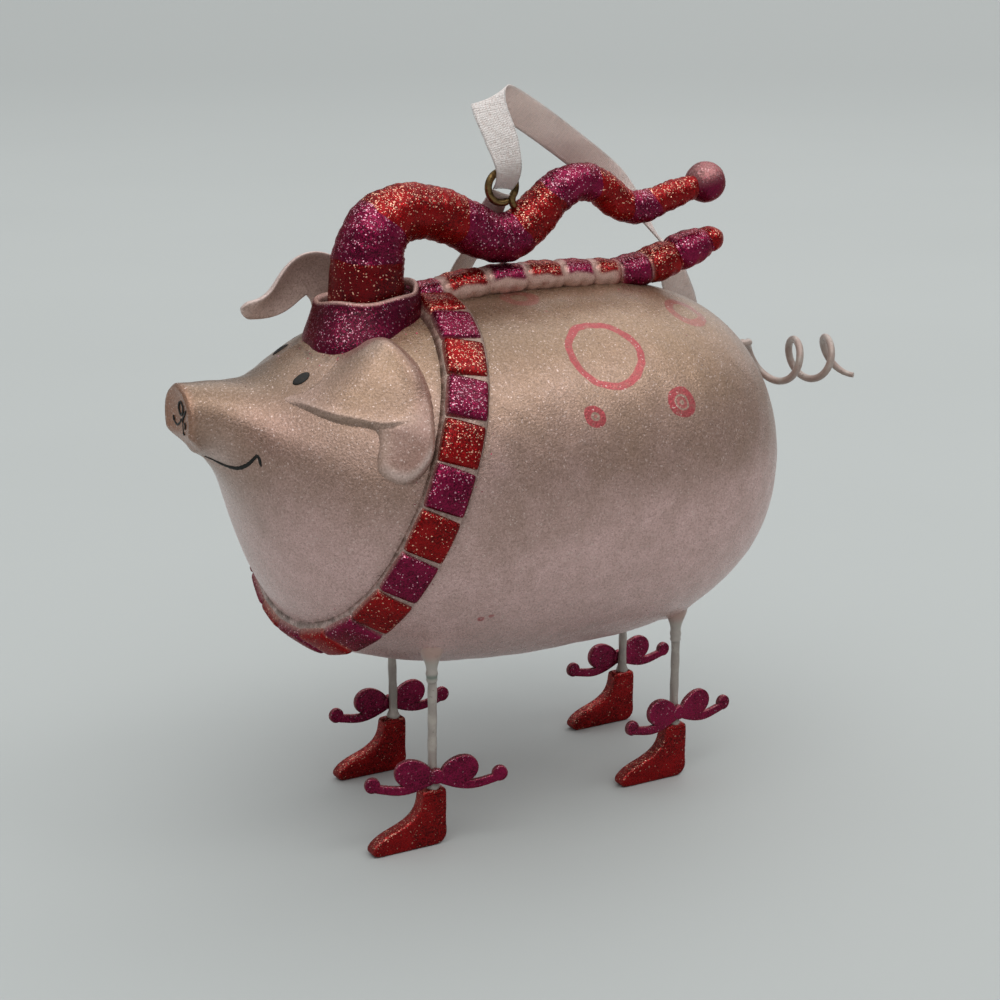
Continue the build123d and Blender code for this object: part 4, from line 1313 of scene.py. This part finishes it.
class PIG_OT_hat(bpy.types.Operator):
    """Makes the striped stocking of the hat, its turned-up cuff and the ball on its end"""

    bl_idname = "pig.hat"
    bl_label = "Hat"

    def crown(self):
        table = [
            (0.000, -0.139, 1.000), (0.000, -0.030, 1.000), (0.000, 0.100, 0.995), (0.001, 0.248, 0.980),
            (0.003, 0.370, 0.960),
            (0.009, 0.500, 0.925), (0.031, 0.680, 0.860), (0.082, 0.802, 0.780), (0.151, 0.820, 0.720),
            (0.225, 0.757, 0.690),
            (0.290, 0.652, 0.680), (0.333, 0.584, 0.665), (0.376, 0.548, 0.655), (0.429, 0.593, 0.630),
            (0.478, 0.720, 0.600),
            (0.531, 0.880, 0.560), (0.602, 0.975, 0.515), (0.671, 0.920, 0.485), (0.718, 0.798, 0.465),
            (0.771, 0.725, 0.455),
            (0.826, 0.743, 0.430), (0.889, 0.807, 0.390), (0.964, 0.870, 0.345),
        ]
        rows = through([
            (HAT_X + reach * STOCKING_REACH, 0.0, STOCKING_FOOT + height * STOCKING_RISE, radius * STOCKING_RADIUS)
            for reach, height, radius in table
        ], 300)
        path = rows[:, :3]
        run = lengths(path)
        turn = full_turn(72)
        lumps = 0.10 * np.sin(run[:, None] * 0.9 + 2 * turn[None])
        lumps = lumps + 0.07 * np.sin(run[:, None] * 2.3 - 3 * turn[None])
        lumps = lumps + 0.05 * np.sin(5.1 * run[:, None] + 5 * turn[None])
        lumps *= smooth(run, 8, 14)[:, None]
        radius = rows[:, 3:4] + lumps
        sections = np.stack([radius * np.cos(turn), radius * np.sin(turn)], -1)
        rings = sweep(path, (0, 1, 0), sections)
        edges = np.array([-40.0, 12.7, 20.2, 35.9, 49.8, 59.3, 69.2, 78.0, 84.2, 130.0])
        where = run[:, None] + 0.5 * np.sin(turn + 0.8)[None] + 0.35 * np.sin(3 * turn)[None]
        band = np.searchsorted(edges, where) - 1
        gap = np.minimum(where - edges[band], edges[band + 1] - where)
        stripe = np.where(band % 2 == 0, -gap, gap)
        marks = {
            "stripe": stripe, "cover": around_each(0.35 + 0.65 * smooth(run, 10, 22), 72),
            # deep darkens the stocking near its foot, by the cuff: painted shade
            "deep": around_each(0.75 * (1 - smooth(run, 10.0, 17.0)), 72),
        }
        faces = ring_faces(len(path), 72)
        return build("hat_stocking", rings, faces, "striped glitter", "hat_glitter", ["hat_crown"], marks)

    def cuff(self):
        tilt = math.radians(8)
        centre = np.array([HAT_X, 0.0, CUFF_TOP])
        up = np.array([-math.sin(tilt), 0.0, math.cos(tilt)])
        first = np.array([math.cos(tilt), 0.0, math.sin(tilt)])
        second = np.array([0.0, 1.0, 0.0])
        profile = np.array([
            (7.6, -7.0, 0.2), (7.95, -4.0, 0.3), (8.25, -2.0, 0.5), (8.45, -0.9, 0.8), (8.65, -0.3, 1.0),
            (8.9, 0.0, 1.0), (9.15, 0.08, 1.0),
            (9.4, -0.05, 0.8), (9.62, -0.35, 0.2), (9.8, -1.0, 0.0), (10.0, -2.0, 0.0), (10.15, -3.2, 0.0),
            (10.3, -4.6, 0.0), (10.5, -6.0, 0.0),
            (10.7, -7.5, 0.0), (10.85, -9.0, 0.0), (10.95, -10.5, 0.0), (11.0, -12.0, 0.0),
        ])
        profile = through(np.c_[profile[:, 0], np.zeros(len(profile)), profile[:, 1:]], 44)[:, (0, 2, 3)]
        turn = full_turn(150)
        wave = 0.20 * np.sin(3 * turn + 1.0) + 0.14 * np.sin(7 * turn + 2.0) + 0.06 * np.sin(13 * turn)
        rise = 0.38 * np.sin(2 * turn + 0.6) + 0.22 * np.sin(5 * turn + 2.2)
        rings = []
        for r, h in profile[:, :2]:
            low = smooth(-h, 1.0, 8.0)
            flare = (cuff_foot(turn) - CUFF_RADIUS) * smooth(-h, 0.3, 7.6) * (r > 9.4)
            radius = r + wave * (0.5 + 0.9 * low) + flare
            level = h + rise * (1 - low)
            ring = centre + first * (radius * np.cos(turn))[:, None] + second * (radius * np.sin(turn))[:, None]
            rings.append(ring + up * level[:, None])
        pale = around_each(profile[:, 2], len(turn))
        # deep darkens the whole cuff: painted shade
        marks = {"pale": pale, "cover": np.clip(1 - pale * 1.2, 0, 1), "deep": np.full(pale.shape, 0.85)}
        faces = ring_faces(len(profile), len(turn))
        return build(
            "hat_cuff_band", np.array(rings), faces, "magenta glitter", "cuff_glitter", ["hat_cuff"], marks
        )

    def ball(self):
        levels = np.linspace(0, math.pi, 48)[:, None]
        turn = full_turn(72)
        radius = BALL_RADIUS + 0.05 * np.sin(3 * turn[None] + 5 * levels) * np.sin(levels)
        flat = radius * np.sin(levels)
        height = radius * np.cos(levels) * np.ones_like(turn)
        rings = BALL_CENTRE + np.stack([flat * np.cos(turn), flat * np.sin(turn), height], -1)
        bare = rings[..., 2] - BALL_CENTRE[2] - 0.25 * (rings[..., 0] - BALL_CENTRE[0])
        bare = 0.8 * smooth(bare, -0.6, 2.4)
        # Paler with fewer flakes towards the top; deep darkens the lower part as painted shade
        marks = {"pale": bare * 0.5, "cover": 1 - 0.5 * bare, "deep": 0.5 * (1 - bare)}
        faces = ring_faces(48, 72, caps=False)
        return build("hat_ball", rings, faces, "magenta glitter", "cuff_glitter", ["hat_pompom"], marks)

    def execute(self, context):
        sprinkle("hat_stocking_glitter", self.crown(), "striped flakes", "hat_glitter")
        sprinkle("hat_cuff_glitter", self.cuff(), "magenta flakes", "cuff_glitter", 0.8, 0.85)
        sprinkle("hat_ball_glitter", self.ball(), "magenta flakes", "cuff_glitter")
        return {"FINISHED"}


class PIG_OT_scarf(bpy.types.Operator):
    """Makes the ring of blocks round the neck and the scarf's tail along the back"""

    bl_idname = "pig.scarf"
    bl_label = "Scarf"

    def ring_point(self, angle, offset):
        """Point on the skin round the neck, and the skin's outward direction there."""
        first = np.array([0.0, 1.0, 0.0])
        second = np.cross(NECK_NORMAL, first)
        outward = first * math.cos(angle) + second * math.sin(angle)
        start = NECK_CENTRE + NECK_NORMAL * offset + outward * 70
        spot, normal = (np.array(v) for v in skin_tree().ray_cast(Vector(start), Vector(-outward))[:2])
        return spot, normal if normal @ outward > 0 else -normal, outward

    def band(self):
        """Pale band under the blocks, seen in the grooves and along the edges."""
        across = np.linspace(-BAND_HALF, BAND_HALF, 23)
        steps = 288
        rings = []
        for k in range(steps):
            angle = 2 * math.pi * k / steps
            ring = []
            for offset in across:
                spot, normal, outward = self.ring_point(angle, offset)
                rise = 1.30 * math.sqrt(max(0.0, 1 - (abs(offset) / BAND_HALF) ** 6)) - 0.05
                ring.append(spot + unit(normal + outward) * rise)
            for offset in (3.4, -3.4):
                spot, normal, outward = self.ring_point(angle, offset)
                ring.append(spot - outward * 1.2)
            rings.append(ring)
        rings.append(rings[0])
        points = np.array(rings)
        # Darker along both edges and all over the band: grime with painted shade in the grooves between the blocks
        grime_and_shade = np.tile(np.r_[0.5 * np.exp(-((np.abs(across) - 4.0) / 0.3) ** 2), 0, 0], (steps + 1, 1))
        shape = points.shape[:2]
        marks = {"pale": np.full(shape, 0.35), "blush": np.full(shape, 0.4), "grime_and_shade": grime_and_shade + 0.4}
        return build("scarf_band", points, ring_faces(*shape, caps=False), "pearl", "scarf_glitter", (), marks)

    def blocks(self):
        """Rounded blocks set round the band, red and magenta in turn."""
        count = bpy.context.scene.pig_sizes.collar_blocks
        places, lifts, alongs, spreads, stripes = [], [], [], [], []
        for k in range(count):
            angle = math.radians(3.0) + 2 * math.pi * k / count
            spot, normal, outward = self.ring_point(angle, 0.0)
            before, after = (self.ring_point(angle + turn * math.pi / count, 0.0)[0] for turn in (-1, 1))
            spreads.append(((np.linalg.norm(after - before) / 2 + 0.10) / BLOCK_HALF_ALONG, 1.0, 1.0))
            places.append(spot)
            lifts.append(unit(normal + 0.4 * outward))
            alongs.append(unit(after - before))
            stripes.append(3.0 if k % 2 == 0 else -3.0)
        ring = bpy.data.meshes.new("scarf_places")
        ring.from_pydata((np.array(places) * MM).tolist(), [], [])
        for name, values in (("lift", lifts), ("along", alongs), ("spread", spreads)):
            ring.attributes.new(name, "FLOAT_VECTOR", "POINT").data.foreach_set(
                "vector", np.array(values, np.float32).ravel()
            )
        set_mark(ring, "stripe", stripes)
        helper = link_new("scarf_places", ring)
        us = np.linspace(-1, 1, BLOCK_STEPS)
        u, v = np.meshgrid(us, us, indexing="ij")
        wide, deep = (np.sign(w) * np.abs(w) ** 0.6 for w in (u, v))
        soft = np.clip(1 - np.abs(wide) ** 15, 0, 1) ** 0.5 * np.clip(1 - np.abs(deep) ** 12, 0, 1) ** 0.5
        corner = 1 - 0.05 * (np.abs(wide * deep) ** 3)
        swell = 0.10 * np.sin(3.1 * u + 1.0) * np.cos(2.7 * v) + 0.12 * (1 - u**2) * (1 - v**2)
        height = BLOCK_TALL * soft - 0.09 * (wide * BLOCK_HALF_ALONG) ** 2 / 6.4 + swell * soft
        top = np.stack([wide * BLOCK_HALF_ALONG * corner, deep * BLOCK_HALF_ACROSS * corner, height], -1)
        low = top.copy()
        low[..., 2] = -1.3
        last, under = BLOCK_STEPS - 1, BLOCK_STEPS**2
        rim = [(i, 0) for i in range(last)] + [(last, j) for j in range(last)]
        rim += [(i, last) for i in range(last, 0, -1)] + [(0, j) for j in range(last, 0, -1)]
        faces = ring_faces(BLOCK_STEPS, BLOCK_STEPS, False, False)
        faces += [[corner + under for corner in face[::-1]] for face in faces]
        order = [i * BLOCK_STEPS + j for i, j in rim]
        for a, b in zip(order, order[1:] + order[:1]):
            faces.append([a, b, b + under, a + under])
        pale = np.clip(0.8 * (1 - smooth(soft, 0.05, 0.45)), 0, 1)
        marks = {"pale": np.r_[pale.ravel(), np.ones(under)], "cover": np.r_[(1 - pale).ravel(), np.zeros(under)]}
        points = np.concatenate([top.reshape(-1, 3), low.reshape(-1, 3)])
        block = link_new("scarf_block", make_mesh("scarf_block", points, faces, marks))
        mesh = bake(helper, finish_of("block tree"), Block=block, Finish=finish_of("striped glitter"))
        bpy.data.objects.remove(helper)
        bpy.data.objects.remove(block)
        mesh.name = "scarf_blocks"
        return show("scarf_blocks", mesh, ["scarf_collar"])

    def tail(self):
        table = [
            (-0.06, -0.15, 1.00, 0.92), (0.000, 0.10, 1.00, 0.96), (0.092, 0.45, 1.00, 1.00),
            (0.184, 0.66, 1.00, 1.00), (0.276, 0.72, 1.00, 1.00), (0.368, 0.72, 1.00, 1.00),
            (0.460, 0.66, 0.99, 1.00), (0.551, 0.54, 0.97, 1.00), (0.643, 0.44, 0.95, 1.00),
            (0.728, 0.65, 0.90, 1.00),
            (0.804, 1.15, 0.86, 1.00), (0.881, 1.74, 0.84, 0.98), (0.950, 2.22, 0.70, 0.80),
            (0.985, 2.42, 0.48, 0.52), (1.000, 2.48, 0.22, 0.25),
        ]
        rows = through([
            (SCARF_X + reach * SCARF_REACH, 0.0, SCARF_HEIGHT + height * SCARF_HALF_HEIGHT,
             wide * SCARF_HALF_WIDTH, tall * SCARF_HALF_HEIGHT)
            for reach, height, wide, tall in table
        ], 300)
        rows[:, 3:5] *= (1 + 0.22 * smooth(rows[:, 0], 14.0, 22.0))[:, None]
        path = rows[:, :3]
        run = lengths(path) - 3.9
        turn = full_turn(80)
        grooves = np.array([2.3, 11.4, 19.6, 27.5, 34.5, 40.4, 47.2, 54.3, 62.4])
        gap = np.min(np.abs(run[:, None] - grooves[None]), axis=1)
        pinch = 1 - (0.10 + 0.06 * smooth(run, 44, 52)) * np.exp(-(gap / 0.55) ** 2)
        plump = 1 + 0.05 * smooth(gap, 0.5, 3.0)
        size = (pinch * plump)[:, None]
        wide = np.sign(np.cos(turn)) * np.abs(np.cos(turn)) ** 0.8
        tall = np.sign(np.sin(turn)) * np.abs(np.sin(turn)) ** 0.85
        sections = np.stack([rows[:, 3:4] * size * wide, rows[:, 4:5] * size * tall], -1)
        sections += 0.06 * np.sin(2.1 * run[:, None, None] + 3 * turn[None, :, None])
        rings = sweep(path, (0, 1, 0), sections)
        where = run[:, None] + 0.25 * np.sin(3 * turn)[None]
        edges = np.r_[-20, grooves, 100]
        band = np.searchsorted(edges, where) - 1
        near = np.minimum(where - edges[band], edges[band + 1] - where)
        stripe = np.where(band % 2 == 1, -near, near)
        free = smooth(run, 37.5, 41.5)[:, None]
        cap = smooth(np.sin(turn)[None] + 0.16 * np.sin(0.78 * run)[:, None] * 0.6, 0.05, 0.28)
        scallop = smooth(near, 0.3, 1.3)
        seam = free * 0.5 * np.exp(-(gap / 0.3) ** 2)[:, None] * (run < 50)[:, None]
        pale = (1 - np.maximum(cap * scallop, free)) + seam
        marks = {"stripe": stripe, "pale": np.clip(pale, 0, 1), "cover": np.clip(1 - pale, 0, 1)}
        faces = ring_faces(len(path), 80)
        return build("scarf_end", rings, faces, "striped glitter", "scarf_glitter", ["scarf_tail"], marks)

    def execute(self, context):
        self.band()
        sprinkle("scarf_blocks_glitter", self.blocks(), "striped flakes", "scarf_glitter")
        sprinkle("scarf_end_glitter", self.tail(), "striped flakes", "scarf_glitter")
        return {"FINISHED"}


class PIG_OT_eye(bpy.types.Operator):
    """Makes the worn brass screw eye in the hat"""

    bl_idname = "pig.eye"
    bl_label = "Screw eye"

    def execute(self, context):
        lean = math.radians(36)
        down = np.array([math.sin(lean), 0.0, -math.cos(lean)])
        side = np.array([math.cos(lean), 0.0, math.sin(lean)])
        points = [EYE_CENTRE + down * (EYE_RADIUS + k) for k in (7.6, 6.4, 5.2, 4.0, 2.9, 1.9, 1.1)]
        for degrees in range(16, 353, 12):
            angle = math.radians(degrees)
            points.append(EYE_CENTRE + EYE_RADIUS * (down * math.cos(angle) + side * math.sin(angle)))
        path = through(points, 300)
        run = lengths(path)
        thread = 0.09 * np.sin(run * 2 * math.pi / 0.9) * (1 - smooth(run, 4.6, 5.6))
        radius = 0.70 + thread - 0.2 * smooth(run, run[-1] - 0.5, run[-1])
        rings = sweep(path, (0, 1, 0), np.stack([circle(20) * r for r in radius]))
        build("brass_eye", rings, ring_faces(len(path), 20), "brass", "eye_brass", ["screw_eye"])
        return {"FINISHED"}


class PIG_OT_legs(bpy.types.Operator):
    """Makes the leg wires with their cast cones, the flat boots and the bows"""

    bl_idname = "pig.legs"
    bl_label = "Legs, boots and bows"

    def cutout(self, outline, middle, half, soft=0.35):
        """A flat cut-out with rounded rims, standing in the plane along the pig. outline is (along, height)."""
        ring = np.concatenate([outline, outline[:1]])
        run = lengths(ring)
        even = np.linspace(0, run[-1], max(24, int(run[-1] / 0.4)), endpoint=False)
        outline = np.stack([np.interp(even, run, column) for column in ring.T], 1)
        for _ in range(4):
            outline = outline / 2 + (np.roll(outline, 1, 0) + np.roll(outline, -1, 0)) / 4
        after, before = np.roll(outline, -1, 0), np.roll(outline, 1, 0)
        along = unit(after - before)
        inward = np.stack([-along[:, 1], along[:, 0]], 1)
        area = np.sum(outline[:, 0] * after[:, 1] - after[:, 0] * outline[:, 1])
        inward = inward if area > 0 else -inward
        rings = []
        shares = ((1.6, 0.0), (0.75, 0.06), (0.3, 0.3), (0.06, 0.7), (0.0, 1.0))
        steps = [(soft * inset, half - soft * drop) for inset, drop in shares]
        for inset, depth in steps + [(inset, -depth) for inset, depth in steps[::-1]]:
            flat = outline + inward * inset
            rings.append(np.stack([flat[:, 0], np.full(len(flat), middle - depth), flat[:, 1]], 1))
        rings = np.array(rings)
        edge = np.repeat([0, 0, 0.5, 1, 1, 1, 1, 0.5, 0, 0], len(outline))
        return rings.reshape(-1, 3), ring_faces(len(rings), len(outline)), edge

    def cut_piece(self, node, points, faces, pale, tint, flakes):
        """A boot or a bow with its glitter. flakes is their density and size."""
        slot = node.split("_")[0] + "_glitter"
        piece = build(f"{node}_cutout", points, faces, f"{tint} glitter", slot, [node], {"pale": pale})
        sprinkle(f"{node}_glitter", piece, f"{tint} flakes", slot, *flakes)

    def boot_outline(self):
        shares = {
            "ankle_front": (-0.180, 1.000), "shin": (-0.235, 0.660), "instep": (-0.500, 0.420),
            "toe_top": (-0.800, 0.225), "toe": (-0.862, 0.100),
            "sole_front": (-0.800, 0.000), "sole_back": (0.055, 0.000), "heel": (0.145, 0.140),
            "heel_top": (0.145, 0.300), "ankle_back": (0.145, 1.000),
        }
        at = {name: np.array([u * BOOT_LENGTH, v * BOOT_HEIGHT, 0.0]) for name, (u, v) in shares.items()}
        front = through([at[name] for name in ("ankle_front", "shin", "instep", "toe_top", "toe", "sole_front")], 44)
        calf = (at["heel_top"] + at["ankle_back"]) / 2
        back = through([at["sole_back"], at["heel"], at["heel_top"], calf, at["ankle_back"]], 26)
        sole = np.linspace(at["sole_front"], at["sole_back"], 16)[1:-1]
        top = np.linspace(at["ankle_back"], at["ankle_front"], 8)[1:-1]
        line = np.concatenate([front, sole, back, top])[:, :2]
        line[:, 1] = np.maximum(line[:, 1], 0.0)
        return line

    def bow_parts(self, x, middle, yaw):
        """Knot, two lobes and two thin tails with round ends."""
        half, centre = BOW_HALF, np.array([x, BOW_HEIGHT])
        parts = [self.cutout(circle(28) * (1.75, 1.55) + centre, middle, 0.78, 0.4)]
        for hand in (-1, 1):
            turn = full_turn(56)
            fat = 2.7 * (1.0 + 0.14 * np.cos(turn)) * np.sin(turn)
            lobe = turned(np.stack([3.75 * np.cos(turn), fat], 1), 12)
            lobe = lobe * (hand, 1) + (x + hand * 0.315 * half, BOW_HEIGHT + 0.065 * half)
            parts.append(self.cutout(lobe, middle, 0.62, 0.32))
            end = np.array([hand * (half - 1.6), -0.045 * half, 0.0])
            tail = through([
                (0, 0, 0), (hand * 3.2, -1.45, 0), (hand * 0.52 * half, -0.16 * half, 0), (hand * 9.6, -1.75, 0),
                end + (hand * 0.3, -0.5, 0),
            ], 30)
            across = unit(np.gradient(tail, axis=0))
            across = np.stack([-across[:, 1], across[:, 0]], 1)
            wide = np.linspace(1.0, 0.78, 30)[:, None]
            strip = np.concatenate([tail[:, :2] + across * wide, (tail[:, :2] - across * wide)[::-1]])
            parts.append(self.cutout(strip + centre, middle, 0.56, 0.3))
            parts.append(
                self.cutout(circle(28) * (1.6, 1.6) + (x + end[0], BOW_HEIGHT + end[1]), middle, 0.6, 0.32)
            )
        points, faces = join(*(part[:2] for part in parts))
        c, s = math.cos(math.radians(yaw)), math.sin(math.radians(yaw))
        aside, beside = points[:, 0] - x, points[:, 1] - middle
        points[:, 0], points[:, 1] = x + c * aside - s * beside, middle + s * aside + c * beside
        return points, faces, np.concatenate([part[2] for part in parts])

    def execute(self, context):
        thin = context.scene.pig_sizes.wire_radius / MM
        boot = self.boot_outline()
        for leg, (x, y) in LEGS.items():
            belly = skin_tree().ray_cast(Vector((x, y, 0.0)), Vector((0, 0, 1)))[0].z
            outward = math.copysign(1, y)
            heights = np.linspace(6.2, belly + 2.0, 90)
            bend = 0.10 * np.sin(heights * 0.21 + x) * smooth(heights, 8, 16) * smooth(belly - heights, 0, 6)
            path = np.stack([x + bend, y + 0.6 * bend, heights], 1)
            radius = thin * (1 + 0.04 * np.sin(heights * 1.3 + x)) + 0.45 * np.exp(-((heights - 11.2) / 0.8) ** 2)
            rings = sweep(path, (1, 0, 0), np.stack([circle(22) * r for r in radius]))
            build(f"wire_{leg}", rings, ring_faces(len(path), 22), "leg wire", "wire", [f"leg_wire_{leg}"])
            levels = np.linspace(0, 1, 40)
            drop = belly + 4.0 - levels * 9.2
            width = 1.02 + 1.25 * (1 - smooth(levels, 0.22, 0.74)) + 0.12 * np.exp(-((levels - 0.82) / 0.04) ** 2)
            width[-3:] = (1.08, 1.0, 0.9)
            turn = full_turn(32)
            uneven = width[:, None] * (1 + 0.05 * np.sin(2 * turn + x)[None] * (1 - levels)[:, None])
            sections = np.stack([uneven * np.cos(turn), uneven * np.sin(turn)], -1)
            rings = sweep(np.stack([np.full(40, x), np.full(40, y), drop], 1), (1, 0, 0), sections)
            copper = 0.85 * np.exp(-((levels - 0.88) / 0.05) ** 2) * (leg == "front_left")
            marks = {"thin": around_each(smooth(levels, 0.38, 0.62), 32), "copper": around_each(copper, 32)}
            build(f"cone_{leg}", rings, ring_faces(40, 32), "cone", "pearl_paint", [f"leg_socket_{leg}"], marks)
            points, faces, edge = self.cutout(boot + (x, 0.0), y, 1.5, 0.55)
            points[:, 2] = np.maximum(points[:, 2], 0.0)
            self.cut_piece(f"boot_{leg}", points, faces, edge * 0.08, "red", (0.5, 0.65))
            points, faces, edge = self.bow_parts(x, y + outward * (thin + 0.6), BOW_YAWS[leg])
            self.cut_piece(f"bow_{leg}", points, faces, edge * 0.16, "magenta", (0.6, 0.75))
        return {"FINISHED"}


class PIG_OT_tail(bpy.types.Operator):
    """Makes the curly wire tail and the small cone at its root"""

    bl_idname = "pig.tail"
    bl_label = "Tail"

    def execute(self, context):
        root = np.array([SNOUT_X + 0.985 * FIGURE_LENGTH, 0.0, AXIS_HEIGHT + 0.555 * BARREL])
        reach = TAIL_TIP_X - 0.75 - root[0]
        quarters = np.array([0.120, 0.105, 0.060, 0.060, 0.060, 0.060, 0.060, 0.060, 0.105, 0.121])
        start = root[0] + 0.19 * reach
        at = np.r_[0, np.cumsum(quarters)]
        turns = np.linspace(0, len(quarters), 81)
        forward = cubic(np.arange(len(at)), at[:, None], turns)[:, 0] * reach
        angle = turns * math.pi / 2
        drop = root[2] - CURL_RADIUS - 1.4 * forward / reach
        curl = np.stack([start + forward, CURL_RADIUS * np.sin(angle), drop + CURL_RADIUS * np.cos(angle)], 1)
        lead = np.array([root + (k, 0, 0) for k in (-3.5, -1.5, 0.5, 2.4)])
        path = through(np.concatenate([lead, curl]), 420)
        line = bpy.data.meshes.new("tail_line")
        line.from_pydata((path * MM).tolist(), [(i, i + 1) for i in range(len(path) - 1)], [])
        helper = link_new("tail_line", line)
        thin = context.scene.pig_sizes.tail_radius
        mesh = bake(helper, finish_of("wire tree"), Radius=thin, Tip=0.72, Finish=finish_of("tail wire"))
        bpy.data.objects.remove(helper)
        mesh.name = "tail_curl"
        mesh.shade_smooth()
        show("tail_curl", mesh, ["tail_wire"])
        steps = np.linspace(0, 1, 40)
        spine = np.stack([root[0] - 4.0 + 9.4 * steps, np.zeros(40), np.full(40, root[2])], 1)
        spine[:, 2] -= 0.9 * (1 - smooth(steps, 0.0, 0.55))
        width = 0.80 + 3.0 * (1 - smooth(steps, -0.05, 0.72))
        width[-3:] = (0.84, 0.8, 0.76)
        rings = sweep(spine, (0, 1, 0), np.stack([circle(32) * w for w in width]))
        marks = {"blush": around_each(0.25 * steps, 32)}
        build("tail_cone", rings, ring_faces(40, 32), "pearl", "pearl_paint", ["tail_socket"], marks)
        return {"FINISHED"}


class PIG_PT_panel(bpy.types.Panel):
    """Lists the steps that dress the ornament"""

    bl_label = "Pig ornament"
    bl_idname = "PIG_PT_panel"
    bl_space_type = "VIEW_3D"
    bl_region_type = "UI"
    bl_category = "Pig"

    def draw(self, context):
        for step in STEPS:
            self.layout.operator(step.bl_idname)
        for group in (context.scene.pig_sizes, context.scene.pig_colours):
            for name in group.__annotations__:
                self.layout.prop(group, name)


STEPS = (
    PIG_OT_stage, PIG_OT_ribbon, PIG_OT_body, PIG_OT_ears, PIG_OT_hat, PIG_OT_scarf, PIG_OT_eye, PIG_OT_legs,
    PIG_OT_tail
)
CLASSES = (PigSizes, PigColours, *STEPS, PIG_PT_panel)


def register():
    for entry in CLASSES:
        bpy.utils.register_class(entry)
    bpy.types.Scene.pig_sizes = PointerProperty(type=PigSizes)
    bpy.types.Scene.pig_colours = PointerProperty(type=PigColours)


def unregister():
    del bpy.types.Scene.pig_colours
    del bpy.types.Scene.pig_sizes
    for entry in reversed(CLASSES):
        bpy.utils.unregister_class(entry)


def main():
    register()
    bpy.ops.pig.stage()
    bpy.ops.pig.ribbon()
    bpy.ops.pig.body()
    bpy.ops.pig.ears()
    bpy.ops.pig.hat()
    bpy.ops.pig.scarf()
    bpy.ops.pig.eye()
    bpy.ops.pig.legs()
    bpy.ops.pig.tail()


if __name__ == "__main__":
    main()
